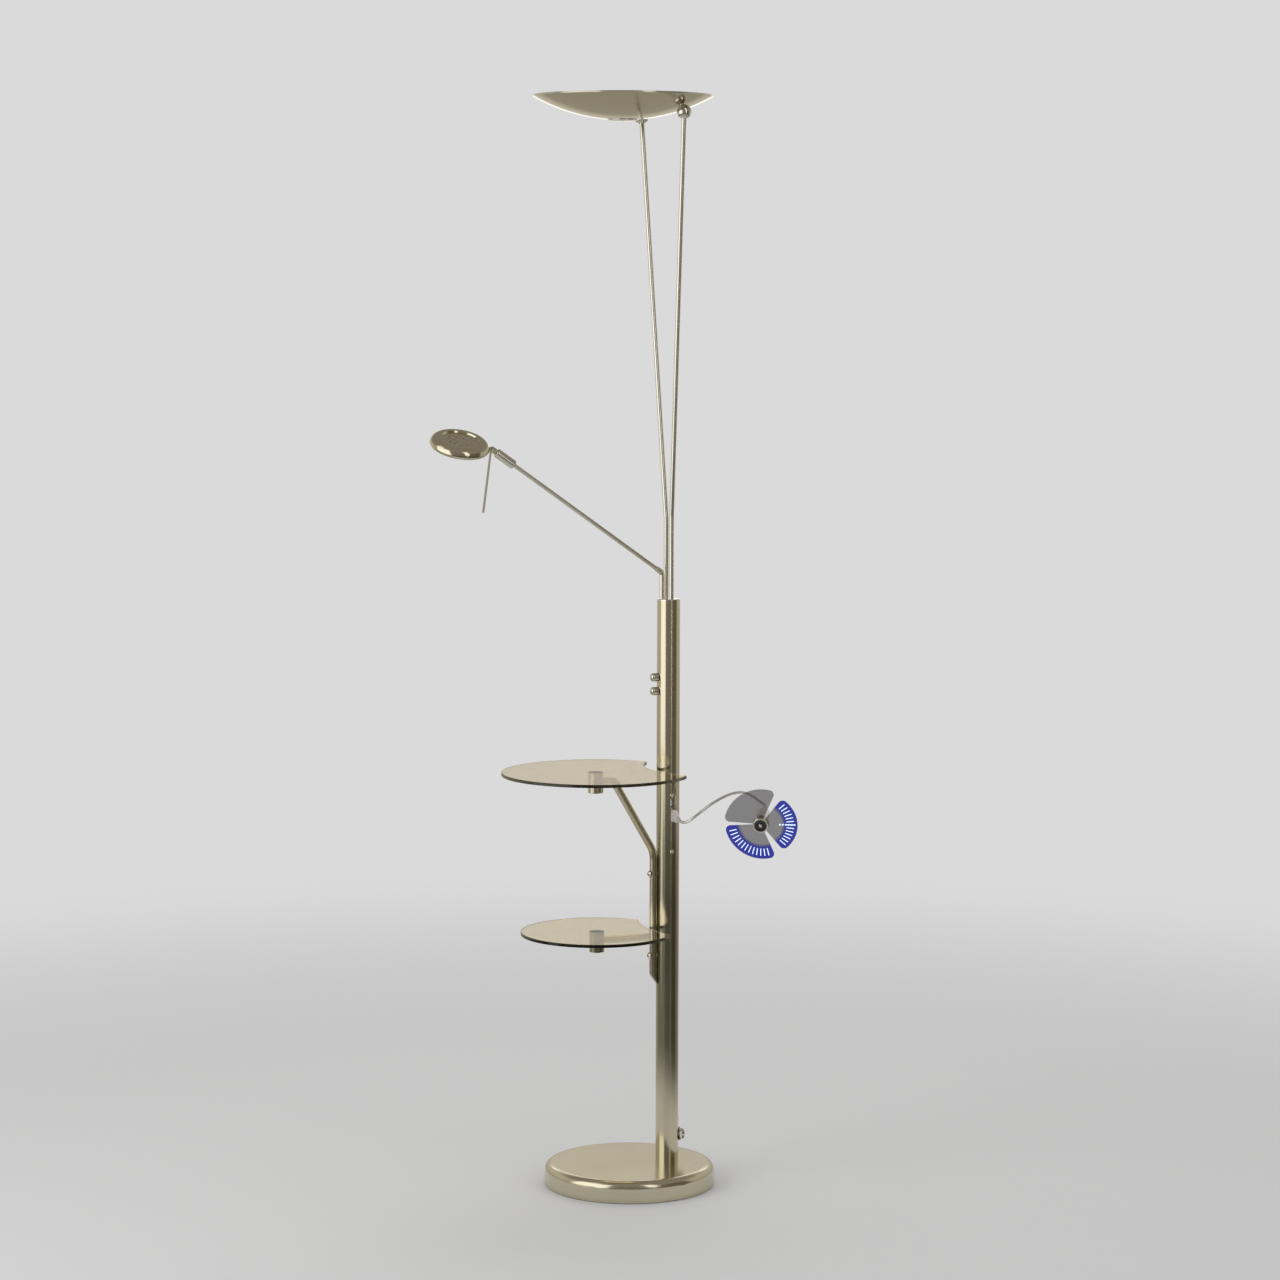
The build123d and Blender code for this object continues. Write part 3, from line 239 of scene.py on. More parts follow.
class Growth(Tree):
    """A Geometry Nodes tree with named inputs, baked into one plain mesh."""

    KINDS = {float: "NodeSocketFloat", int: "NodeSocketInt"}

    def __init__(self, name, **values):
        self.name = name
        self.group = bpy.data.node_groups.new(name, "GeometryNodeTree")
        super().__init__(self.group)
        face = self.group.interface
        face.new_socket("Geometry", in_out="INPUT", socket_type="NodeSocketGeometry")
        face.new_socket("Geometry", in_out="OUTPUT", socket_type="NodeSocketGeometry")
        self.values = {}
        for key, value in values.items():
            label = key.replace("_", " ").capitalize()
            made = face.new_socket(label, in_out="INPUT", socket_type=self.KINDS[type(value)])
            self.values[made.identifier] = value
        entry = self.node("NodeGroupInput")
        self.start = entry.outputs[0]
        self.named = {key: Wire(self, entry.outputs[number + 1]) for number, key in enumerate(values)}

    def vector(self, x=0.0, y=0.0, z=0.0):
        return self.node("ShaderNodeCombineXYZ", None, {0: x, 1: y, 2: z})

    def moved(self, geometry, shift=(0, 0, 0), turn=(0, 0, 0)):
        sockets = {"Geometry": geometry, "Translation": shift, "Rotation": turn}
        return self.node("GeometryNodeTransform", None, sockets)

    def tube(self, path, radius, corners=16, caps=True):
        """A round tube along a curve."""
        ring = self.node("GeometryNodeCurvePrimitiveCircle", None, {"Resolution": corners, "Radius": radius})
        sockets = {"Curve": path, "Profile Curve": ring, "Fill Caps": caps}
        return self.node("GeometryNodeCurveToMesh", None, sockets)

    def together(self, *parts):
        made = self.node("GeometryNodeJoinGeometry")
        for part in parts:
            self.plug(part, made.inputs[0])
        return made

    def bake(self, geometry, material, smooth=True, source=None):
        """Ends the tree, evaluates it once and keeps the result as one mesh."""
        shaded = self.node("GeometryNodeSetShadeSmooth", None, {"Geometry": geometry, "Shade Smooth": smooth})
        real = self.node("GeometryNodeRealizeInstances", None, {"Geometry": shaded})
        dressed = self.node("GeometryNodeSetMaterial", None, {"Geometry": real, "Material": material})
        self.node("NodeGroupOutput", None, {0: dressed})
        carrier = bpy.data.objects.new(self.name + "_tree", source or bpy.data.meshes.new(self.name + "_tree"))
        bpy.context.scene.collection.objects.link(carrier)
        modifier = carrier.modifiers.new(self.name, "NODES")
        modifier.node_group = self.group
        for identifier, value in self.values.items():
            modifier[identifier] = value
        seen = carrier.evaluated_get(bpy.context.evaluated_depsgraph_get())
        mesh = bpy.data.meshes.new_from_object(seen)
        carrier.modifiers.remove(modifier)
        bpy.data.objects.remove(carrier)
        return settled(self.name, mesh, material)


# Mesh building

def settled(name, mesh, material):
    """A finished mesh as an object at the origin, with its doubles merged and its faces pointing outwards."""
    form = bmesh.new()
    form.from_mesh(mesh)
    bmesh.ops.remove_doubles(form, verts=form.verts, dist=1e-6)
    bmesh.ops.recalc_face_normals(form, faces=form.faces)
    form.to_mesh(mesh)
    form.free()
    mesh.name = name
    mesh.materials.clear()
    mesh.materials.append(material)
    made = bpy.data.objects.new(name, mesh)
    bpy.context.scene.collection.objects.link(made)
    return made


def lathed(name, outline, place, material, segments=96):
    """A closed outline of (radius, height) in millimetres, turned about a place's own Z."""
    form = bmesh.new()
    rings = []
    for radius, height in outline:
        if radius == 0:
            rings.append([form.verts.new(mm(0, 0, height))] * segments)
            continue
        angles = (math.tau * step / segments for step in range(segments))
        rings.append([form.verts.new(mm(radius * math.cos(a), radius * math.sin(a), height)) for a in angles])
    closed = outline[0][0] > 0
    for lower, upper in zip(rings, rings[1:] + (rings[:1] if closed else [])):
        for step in range(segments):
            after = (step + 1) % segments
            corners = dict.fromkeys((lower[step], lower[after], upper[after], upper[step]))
            if len(corners) > 2:
                form.faces.new(corners)
    mesh = bpy.data.meshes.new(name)
    form.to_mesh(mesh)
    form.free()
    mesh.transform(place)
    for face in mesh.polygons:
        face.use_smooth = True
    return settled(name, mesh, material)


def bevelled(piece, width, segments):
    """Rounds a piece's sharp edges, in its own mesh."""
    modifier = piece.modifiers.new("round", "BEVEL")
    modifier.width = width
    modifier.segments = segments
    modifier.limit_method = "ANGLE"
    seen = piece.evaluated_get(bpy.context.evaluated_depsgraph_get())
    mesh = bpy.data.meshes.new_from_object(seen)
    piece.modifiers.remove(modifier)
    piece.data = mesh
    for face in mesh.polygons:
        face.use_smooth = True
    return piece


# Finishes

def axis_turn(direction):
    """Euler angles that turn own Z to a direction."""
    return tuple(Vector(direction).to_track_quat("Z", "Y").to_euler())


def darker(colour, share):
    return tuple(part * share for part in colour)


# Noise scales of the brush lines, fine and broad, and of the handling marks
ROUND_LINES = (5200.0, 380.0)
LONG_LINES = (2600.0, 330.0)
MARKS = 11.0


def brushed(name, colour, roughness, centre=(0, 0, 0), direction=(0, 0, 1), run="round", grain=1.0):
    """Satin plating with fine brush lines round an axis or along it, and faint handling marks."""
    finish = Finish(name, Metallic=1.0)
    place = finish.object_place(centre, axis_turn(direction))
    if run == "round":
        x, y, z = finish.split(place)
        travel = (x * x + y * y).math("SQRT") + z
        fine = finish.lines(travel, ROUND_LINES[0])
        broad = finish.lines(travel, ROUND_LINES[1], 3.0)
    else:
        fine = finish.noise(place, LONG_LINES[0], 2.0, (1, 1, 0.004))
        broad = finish.noise(place, LONG_LINES[1], 3.0, (1, 1, 0.006))
    marks = finish.noise(place, MARKS, 4.0)
    tone = (fine * 0.35 + broad * 0.40 + marks * 0.25).between(0.36, 0.62)
    finish.bump(fine, 0.05 * grain, 0.00010)
    rough = (fine - 0.5) * (0.10 * grain) + (marks - 0.5) * 0.07 + roughness
    return finish.feed(Base_Color=finish.blend(tone, darker(colour, 1 - 0.12 * grain), colour), Roughness=rough)


def polished(name, colour, roughness):
    """Bright plating with a faint haze and hairline wiping marks."""
    finish = Finish(name, Metallic=1.0)
    place = finish.object_place()
    haze = finish.noise(place, 60.0, 4.0)
    wipe = finish.noise(place, 700.0, 2.0, (1, 0.15, 0.6))
    finish.bump(wipe, 0.05, 0.0001)
    tint = finish.blend(haze.between(0.35, 0.65), darker(colour, 0.9), colour)
    return finish.feed(Base_Color=tint, Roughness=(haze - 0.5) * 0.08 + (wipe - 0.5) * 0.05 + roughness)


def cast(name, colour, roughness, **constants):
    """Rough cast or rubbery surface with pits."""
    finish = Finish(name, **constants)
    place = finish.object_place()
    pits = finish.noise(place, 420.0, 5.0)
    cloud = finish.noise(place, 25.0, 3.0)
    finish.bump(pits, 0.6, 0.0006)
    tint = finish.blend((pits * 0.5 + cloud * 0.5).between(0.3, 0.7), darker(colour, 0.6), colour)
    return finish.feed(Base_Color=tint, Roughness=(pits - 0.5) * 0.2 + roughness)


def moulded(name, colour, roughness, grain=3000.0, depth=0.08, share=0.84, **constants):
    """Moulded plastic or glazed ware with a fine surface grain and slightly uneven colour."""
    finish = Finish(name, **constants)
    place = finish.object_place()
    pits = finish.noise(place, grain, 2.0)
    cloud = finish.noise(place, 45.0, 3.0)
    finish.bump(pits, depth, 0.0002)
    tint = finish.blend(cloud.between(0.3, 0.7), darker(colour, share), colour)
    return finish.feed(Base_Color=tint, Roughness=(pits - 0.5) * 0.14 + roughness)


def clear_glass(name, colour, roughness=0.0):
    """Clear lamp glass with very slight waviness and wiping smears."""
    finish = Finish(name, Transmission_Weight=1.0, IOR=1.46)
    place = finish.object_place()
    finish.bump(finish.noise(place, 90.0, 2.0), 0.04, 0.0004)
    smear = finish.noise(place, 60.0, 4.0).between(0.45, 0.8)
    tint = finish.blend(smear, colour, darker(colour, 0.94))
    return finish.feed(Base_Color=tint, Roughness=smear * 0.05 + roughness)


def shelf_glass(name, colour, edge, centre, radius):
    """Tinted sheet glass whose ground edge is deeper in colour and duller."""
    finish = Finish(name, Transmission_Weight=1.0, IOR=1.52)
    place = finish.object_place(centre)
    x, y, z = finish.split(place)
    rim = (x * x + y * y).math("SQRT").between(radius - 0.0016, radius - 0.0006)
    smear = finish.noise(place, 24.0, 4.0).between(0.45, 0.75)
    ground = finish.noise(place, 1800.0, 3.0)
    tint = finish.blend(rim, finish.blend(smear, colour, darker(colour, 0.95)), edge)
    finish.bump(finish.noise(place, 9.0, 1.0), 0.02, 0.001)
    return finish.feed(Base_Color=tint, Roughness=smear * 0.03 + rim * (ground * 0.2 + 0.05) + 0.01)


# The blades' lit band as shares of the tip radius, and the turns that stay dark, in degrees
LIT_BAND = (0.72, 0.94)
UNLIT_BLADE = (-182, -58)
UNLIT_END = (176, 181)
PLAIN_ALPHA = 0.46
LIT_ALPHA = 0.5    # what the light adds to it


def blade_skin(name, colour, glow):
    """Soft smoked plastic that lets light through, with a lit band near the tips of two blades."""
    finish = Finish(name, Specular_IOR_Level=0.4, Emission_Strength=1.0)
    place = finish.object_place(FAN_FRONT, tuple(FAN_PLACE.to_euler()))
    x, y, z = finish.split(place)
    radius = (x * x + y * y).math("SQRT")
    angle = y.math("ARCTAN2", x)
    lit = radius.inside(LIT_BAND[0] * BLADE_TIP, LIT_BAND[1] * BLADE_TIP, 0.010)
    lit_side = 1 - angle.inside(*map(math.radians, UNLIT_BLADE), 0.10)
    far_end = 1 - angle.inside(*map(math.radians, UNLIT_END), 0.02)
    ripple = finish.noise(place, 160.0, 3.0)
    streaks = finish.lines(radius, 900.0, 2.0)
    finish.bump(finish.noise(place, 2600.0, 2.0), 0.10, 0.0002)
    tint = finish.blend(ripple.between(0.3, 0.7), darker(colour, 0.7), colour)
    shine = lit * lit_side * far_end * (streaks * 0.5 + 0.75)
    alpha = shine * LIT_ALPHA + PLAIN_ALPHA
    return finish.feed(
        Base_Color=tint, Roughness=(ripple - 0.5) * 0.2 + 0.38, Alpha=alpha,
        Emission_Color=finish.blend(shine, (0, 0, 0), glow),
    )


def lit_plastic(name, colour, strength):
    """Clear moulding with a light behind it, brighter at places."""
    finish = Finish(name, Emission_Strength=strength, Roughness=0.25)
    place = finish.object_place()
    spots = finish.noise(place, 700.0, 2.0)
    shine = finish.blend(spots.between(0.3, 0.7), darker(colour, 0.7), colour)
    return finish.feed(Base_Color=colour, Emission_Color=shine)


# Settings that a user would change

def colour_setting(name, description, default):
    return FloatVectorProperty(
        name=name, description=description, subtype="COLOR", size=3, min=0, max=1, default=default)


def length_setting(name, description, default):
    return FloatProperty(
        name=name, description=description, subtype="DISTANCE", unit="LENGTH", default=default, min=0)


class LampFinishes(bpy.types.PropertyGroup):
    nickel: colour_setting("Satin nickel", "Colour of the brushed plating", (0.66, 0.605, 0.450))
    fair: colour_setting("Rod nickel", "Colour of the drawn and turned small parts", (0.76, 0.73, 0.64))
    bright: colour_setting("Polished nickel", "Colour of the polished plating", (0.80, 0.77, 0.69))
    glass: colour_setting("Shelf glass", "Tint of the two shelves", (0.82, 0.715, 0.51))
    glass_edge: colour_setting("Glass edge", "Colour in the shelves' ground edge", (0.36, 0.31, 0.14))
    blade: colour_setting("Fan blade", "Colour of the soft blades", (0.040, 0.022, 0.034))
    glow: colour_setting("Fan glow", "Colour of the light in the blades", (0.006, 0.022, 0.30))
    satin: FloatProperty(name="Satin roughness", description="How dull the brushed plating is",
                         subtype="FACTOR", min=0.05, max=0.8, default=0.24)


class LampSizes(bpy.types.PropertyGroup):
    neck: length_setting("Gooseneck radius", "Outside radius of the fan's gooseneck", 0.0024)
    ferrule: length_setting("Ferrule radius", "Radius of the collars on the gooseneck's ends", 0.0031)
    ferrule_length: length_setting("Ferrule length", "Length of the collars on the gooseneck's ends", 0.008)
    filament: length_setting("Filament radius", "Radius of the halogen tube's coil", 0.0009)
    filament_wire: length_setting("Filament wire", "Radius of the coil's wire", 0.00018)
    filament_turns: IntProperty(name="Filament turns", description="Turns of the coil", default=36, min=4)
    dash_length: length_setting("Light dash length", "Length of each light on the blades", 0.0125)
    dash_width: length_setting("Light dash width", "Width of each light on the blades", 0.0013)
    dash_count: IntProperty(name="Light dashes", description="Lights on each lit blade", default=13, min=2)
    bead: length_setting("Rim bead", "Radius of the dish's rolled rim", 0.0011)


class LampStudio(bpy.types.PropertyGroup):
    pale: FloatProperty(name="Backdrop", description="Brightness of the backdrop", min=0, max=1, default=0.70)
    floor: FloatProperty(name="Floor", description="Brightness of the floor card", min=0, max=1, default=0.66)
    soft: FloatProperty(name="Soft light", description="Level of the even light", min=0, default=0.62)
    boxes: FloatProperty(name="Soft boxes", description="Power of the large lamp",
                         subtype="POWER", min=0, default=24.0)


# Finishes of the carried-over nodes

def dress(node, material):
    """Gives a CAD node its finish."""
    slots = frame["nodes"][node].data.materials
    slots.clear()
    slots.append(material)


class LAMP_OT_finishes(bpy.types.Operator):
    """Give every carried-over node its finish"""
    bl_idname = "lamp.finishes"
    bl_label = "Finishes"

    def execute(self, context):
        wear = context.scene.lamp_finishes
        nickel, bright, satin = tuple(wear.nickel), tuple(wear.bright), wear.satin
        plain = {
            "satin_nickel": brushed("satin_nickel", nickel, satin),
            "polished_nickel": polished("polished_nickel", bright, 0.09),
            "zinc_steel": brushed("zinc_steel", (0.56, 0.57, 0.58), 0.34, run="along"),
            "cast_iron": cast("cast_iron", (0.10, 0.10, 0.10), 0.75),
            "pad_rubber": cast("pad_rubber", (0.035, 0.035, 0.035), 0.85),
            "lamp_glass": clear_glass("lamp_glass", (0.98, 0.98, 0.97)),
            "lens_glass": clear_glass("lens_glass", (0.95, 0.95, 0.92), 0.45),
            "ceramic": moulded("ceramic", (0.82, 0.80, 0.74), 0.6, 900.0, 0.3),
            "tray_aluminium": cast("tray_aluminium", (0.86, 0.86, 0.86), 0.22, Metallic=1.0),
            "black_plastic": moulded("black_plastic", (0.018, 0.018, 0.02), 0.4),
            "white_plastic": moulded("white_plastic", (0.80, 0.73, 0.72), 0.42),
            "wire_insulation": moulded("wire_insulation", (0.45, 0.40, 0.34), 0.5),
            "shelf_glass": shelf_glass(
                "upper_shelf_glass", wear.glass, wear.glass_edge, UPPER_SHELF, UPPER_SHELF_R),
            "blade_plastic": blade_skin("blade_plastic", tuple(wear.blade), tuple(wear.glow)),
            "light_plastic": lit_plastic("light_plastic", (0.55, 0.72, 1.0), 1.0),
        }
        for row in frame["record"]["subparts"]:
            dress(row["node"], plain[row["material_slot"]])
        lower = shelf_glass("lower_shelf_glass", wear.glass, wear.glass_edge, LOWER_SHELF, LOWER_SHELF_R)
        dress("lower_shelf_glass", lower)
        dress("fan_housing", moulded("pearl_housing", (0.86, 0.80, 0.79), 0.3, Coat_Weight=0.5))
        dress("usb_ports", polished("port_shell", (0.82, 0.81, 0.78), 0.18))
        fair = tuple(wear.fair)
        # Node: colour, centre, direction, roughness and how strong the brush lines are
        long_grain = {
            "pole": (nickel, POLE_AXIS, UP, 0.15, 0.8),
            "bracket_tube": (nickel, (0, 0, 0), UP, 0.2, 0.5),
            "lower_arm_tube": (nickel, LOWER_SHELF, (1, 0, 0), 0.2, 0.5),
            "shelf_bosses": (nickel, UPPER_SHELF, UP, 0.16, 0.5),
            "front_rod": (fair, (0, 0, 0), (-0.04, -0.13, 1), 0.19, 0.1),
            "rear_rod": (fair, (0, 0, 0), (-0.04, 0.13, 1), 0.19, 0.1),
            "arm_stub": (fair, ARM_START, UP, 0.19, 0.1),
            "arm_tube": (fair, ARM_START, ARM_WAY, 0.19, 0.1),
            "arm_sleeve": (fair, ARM_START, ARM_WAY, 0.15, 0.1),
            "handle_rod": (fair, HEAD_CENTRE, HEAD_UP, 0.2, 0.1),
        }
        for node, (colour, centre, way, dull, grain) in long_grain.items():
            dress(node, brushed(node + "_grain", colour, dull, centre, way, "along", grain))
        round_grain = {
            "dish_shell": (nickel, DISH_AXIS, UP, 0.15, 0.4),
            "head_shell": (nickel, HEAD_CENTRE, HEAD_UP, 0.12, 0.3),
            "head_bezel": (nickel, HEAD_CENTRE, HEAD_UP, 0.2, 0.5),
            "pole_top_cap": (fair, POLE_AXIS, UP, 0.15, 0.4),
            "base_cover": (nickel, (0, 0, 0), UP, 0.17, 0.8),
            "upper_dimmer_knob": (fair, UPPER_KNOB, (1, 0, 0), 0.12, 0.3),
            "lower_dimmer_knob": (fair, LOWER_KNOB, (1, 0, 0), 0.12, 0.3),
        }
        for node, (colour, centre, way, dull, grain) in round_grain.items():
            dress(node, brushed(node + "_turned", colour, dull, centre, way, "round", grain))
        return {"FINISHED"}


# Pieces

class LAMP_OT_gooseneck(bpy.types.Operator):
    """Sweep the fan's gooseneck in one length along a fixed route, across the place of its joint"""
    bl_idname = "lamp.gooseneck"
    bl_label = "Gooseneck"

    FAN_LENGTH = 0.0558      # from the blades' front to the neck's end
    STRAIGHT = 0.018         # the neck's last run, behind the fan
    FERRULE_START = 0.007
    BEND = mm(120.5, -77, 648.0)
    BEND_WAY = Vector((0.89721, 0.23405, 0.37449))
    BEND_REACH = 0.014       # each way from the joint

    def execute(self, context):
        sizes = context.scene.lamp_sizes
        rear = FAN_FRONT - FAN_WAY * self.FAN_LENGTH
        route = [mm(*point) for point in NECK_ROUTE] + [rear - FAN_WAY * self.STRAIGHT, rear]
        curve = bpy.data.curves.new("neck_line", "CURVE")
        curve.dimensions = "3D"
        spline = curve.splines.new("NURBS")
        spline.points.add(len(route) - 1)
        for point, place in zip(spline.points, route):
            point.co = (*place, 1)
        spline.order_u = 3
        spline.use_endpoint_u = True
        spline.resolution_u = 12
        tree = Growth(
            "gooseneck", radius=sizes.neck, ferrule=sizes.ferrule, ferrule_length=sizes.ferrule_length)
        sheath = tree.tube(tree.start, tree.named["radius"], 20)
        whole = tree.wire(tree.node("GeometryNodeCurveLength", None, {"Curve": tree.start}))
        collars = []
        for first, last in (
            (self.FERRULE_START, tree.named["ferrule_length"] * 0.6 + self.FERRULE_START),
            (whole - tree.named["ferrule_length"], whole),
        ):
            sockets = {"Curve": tree.start}
            piece = tree.node("GeometryNodeTrimCurve", {"mode": "LENGTH"}, sockets)
            tree.plug(first, piece.inputs[4])
            tree.plug(last, piece.inputs[5])
            collars.append(tree.tube(piece, tree.named["ferrule"], 24))
        neck = moulded("neck_sleeve", (0.82, 0.81, 0.82), 0.22, depth=0.01, share=0.94, Metallic=0.8)
        piece = tree.bake(tree.together(sheath, *collars), neck, source=curve)
        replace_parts(piece, "gooseneck_lower", "gooseneck_upper")
        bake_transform(piece)
        return {"FINISHED"}


class LAMP_OT_plug_grip(bpy.types.Operator):
    """Mould the slanted grip of the fan's plug, with ribs on its cheeks"""
    bl_idname = "lamp.plug_grip"
    bl_label = "Plug grip"

    SIDE = ((-22, 610.3), (-22, 629.3), (-32.5, 629.3), (-44.5, 621.8), (-46, 616.0), (-44, 610.9))
    CHEEKS = (63.0, 71.0)

    def execute(self, context):
        form = bmesh.new()
        near, far = ([form.verts.new(mm(x, y, z)) for y, z in self.SIDE] for x in self.CHEEKS)
        form.faces.new(near)
        form.faces.new(far)
        for step in range(len(near)):
            after = (step + 1) % len(near)
            form.faces.new((near[step], near[after], far[after], far[step]))
        mesh = bpy.data.meshes.new("plug_grip")
        form.to_mesh(mesh)
        form.free()
        skin = moulded("grip_plastic", (0.80, 0.73, 0.72), 0.42)
        grip = bevelled(settled("plug_grip", mesh, skin), 0.0016, 4)
        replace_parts(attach(grip, "fan_plug"), "usb_plug_grip")
        tree = Growth("grip_ribs", length=0.011, spacing=0.0022, radius=0.0004, count=4)
        ends = {
            "Start": tree.vector(z=tree.named["length"] * -0.5),
            "End": tree.vector(z=tree.named["length"] * 0.5),
        }
        stick = tree.tube(tree.node("GeometryNodeCurvePrimitiveLine", None, ends), tree.named["radius"], 10)
        sockets = {"Count": tree.named["count"], "Offset": tree.vector(y=tree.named["spacing"] * -1.0)}
        row = tree.node("GeometryNodeMeshLine", None, sockets)
        ribs = tree.node("GeometryNodeInstanceOnPoints", None, {"Points": row, "Instance": stick})
        sides = [tree.moved(ribs, mm(x, -26, 619)) for x in self.CHEEKS]
        piece = tree.bake(tree.together(*sides), skin)
        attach(piece, "fan_plug")
        return {"FINISHED"}


class LAMP_OT_port_tongue(bpy.types.Operator):
    """Fit the pale contact tongue of the free USB port"""
    bl_idname = "lamp.port_tongue"
    bl_label = "Port tongue"

    SIZE = (1.9, 9.5, 11.2)
    CENTRE = (65.6, -12.9, 640.4)

    def execute(self, context):
        form = bmesh.new()
        bmesh.ops.create_cube(form, size=1.0)
        bmesh.ops.scale(form, verts=form.verts, vec=mm(*self.SIZE))
        bmesh.ops.translate(form, verts=form.verts, vec=mm(*self.CENTRE))
        mesh = bpy.data.meshes.new("port_tongue")
        form.to_mesh(mesh)
        form.free()
        skin = moulded("tongue_plastic", (0.86, 0.84, 0.80), 0.4)
        tongue = bevelled(settled("port_tongue", mesh, skin), 0.0003, 2)
        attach(tongue, "stand")
        return {"FINISHED"}


class LAMP_OT_filament(bpy.types.Operator):
    """Wind the filament inside the halogen tube"""
    bl_idname = "lamp.filament"
    bl_label = "Filament"

    CENTRE = (-15.6, 0, 1780.6)

    def execute(self, context):
        sizes = context.scene.lamp_sizes
        tree = Growth(
            "tube_filament", radius=sizes.filament, wire=sizes.filament_wire, length=0.058,
            turns=sizes.filament_turns)
        sockets = {
            "Resolution": 14, "Rotations": tree.named["turns"], "Start Radius": tree.named["radius"],
            "End Radius": tree.named["radius"], "Height": tree.named["length"],
        }
        coil = tree.tube(tree.node("GeometryNodeCurveSpiral", None, sockets), tree.named["wire"], 6)
        middle = tree.moved(coil, tree.vector(z=tree.named["length"] * -0.5))
        leads = []
        for low, high in ((-0.0355, -0.029), (0.029, 0.0355)):
            ends = {"Start": (0, 0, low), "End": (0, 0, high)}
            lead = tree.node("GeometryNodeCurvePrimitiveLine", None, ends)
            leads.append(tree.tube(lead, tree.named["wire"] * 1.8, 8))
        laid = tree.moved(tree.together(middle, *leads), mm(*self.CENTRE), (math.radians(90), 0, 0))
        piece = tree.bake(laid, polished("tungsten", (0.42, 0.40, 0.38), 0.3))
        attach(piece, "dish")
        return {"FINISHED"}


class LAMP_OT_reflector(bpy.types.Operator):
    """Press a row of flutes into the floor of the lamp tray"""
    bl_idname = "lamp.reflector"
    bl_label = "Reflector flutes"

    FIRST = (-15.6, -54, 1770.7)

    def execute(self, context):
        tree = Growth("reflector_flutes", width=0.047, spacing=0.006, radius=0.0011, count=19)
        ends = {
            "Start": tree.vector(x=tree.named["width"] * -0.5),
            "End": tree.vector(x=tree.named["width"] * 0.5),
        }
        bar = tree.tube(tree.node("GeometryNodeCurvePrimitiveLine", None, ends), tree.named["radius"], 12)
        sockets = {"Count": tree.named["count"], "Offset": tree.vector(y=tree.named["spacing"])}
        row = tree.node("GeometryNodeMeshLine", None, sockets)
        flutes = tree.node("GeometryNodeInstanceOnPoints", None, {"Points": row, "Instance": bar})
        laid = tree.moved(flutes, mm(*self.FIRST))
        piece = tree.bake(laid, frame["nodes"]["lamp_tray"].data.materials[0])
        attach(piece, "dish")
        return {"FINISHED"}


class LAMP_OT_blade_lights(bpy.types.Operator):
    """Set a row of light dashes near the tips of two blades"""
    bl_idname = "lamp.blade_lights"
    bl_label = "Blade lights"

    RING = 0.0488
    SWEEP = math.radians(88)
    PITCH = math.radians(7)
    BLADE_STEP = math.radians(120)
    LIT_BLADES = (0, 1)

    def execute(self, context):
        sizes = context.scene.lamp_sizes
        tree = Growth(
            "blade_light_dashes", ring=self.RING, length=sizes.dash_length, width=sizes.dash_width,
            thickness=0.0007, sweep=self.SWEEP, count=sizes.dash_count)
        size = tree.vector(tree.named["length"], tree.named["width"], tree.named["thickness"])
        dash = tree.node("GeometryNodeMeshCube", None, {"Size": size})
        sockets = {
            "Resolution": tree.named["count"], "Radius": tree.named["ring"],
            "Start Angle": tree.named["sweep"] * -0.5, "Sweep Angle": tree.named["sweep"],
        }
        arc = tree.node("GeometryNodeCurveArc", {"mode": "RADIUS"}, sockets)
        outward = tree.node("GeometryNodeInputPosition")
        turn = tree.node("FunctionNodeAlignRotationToVector", {"axis": "X"}, {"Vector": outward})
        sockets = {"Points": arc, "Instance": dash, "Rotation": turn}
        row = tree.node("GeometryNodeInstanceOnPoints", None, sockets)
        pitched = tree.moved(row, mm(0, 0, 7.5), (self.PITCH, 0, 0))
        blades = [tree.moved(pitched, turn=(0, 0, self.BLADE_STEP * number)) for number in self.LIT_BLADES]
        glow = lit_plastic("dash_light", (0.62, 0.78, 1.0), 1.1)
        piece = tree.bake(tree.together(*blades), glow, smooth=False)
        piece.data.transform(FAN_PLACE @ Matrix.Translation(mm(0, 0, -0.75)))
        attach(piece, "fan_rotor")
        return {"FINISHED"}


class LAMP_OT_hub_face(bpy.types.Operator):
    """Fit the hub's dark face with its centre screw"""
    bl_idname = "lamp.hub_face"
    bl_label = "Hub face"

    FACE = (
        (0, 1.7), (10.4, 1.7), (10.4, 0.5), (9.9, 0.35), (9.3, 0.6), (6.2, 1.1), (4.6, 1.1), (4.2, 0.6),
        (0, 0.6),
    )
    SCREW = ((0, 0.7), (2.9, 0.7), (2.9, 0.1), (2.5, -0.35), (1.7, -0.7), (1.2, -0.8), (1.1, -0.2), (0, -0.1))

    def execute(self, context):
        face = lathed("hub_face", self.FACE, FAN_PLACE, moulded("hub_black", (0.02, 0.019, 0.02), 0.22))
        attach(face, "fan_rotor")
        plate = polished("hub_screw_plate", (0.82, 0.80, 0.74), 0.1)
        screw = lathed("hub_screw", self.SCREW, FAN_PLACE, plate, 48)
        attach(screw, "fan_rotor")
        return {"FINISHED"}


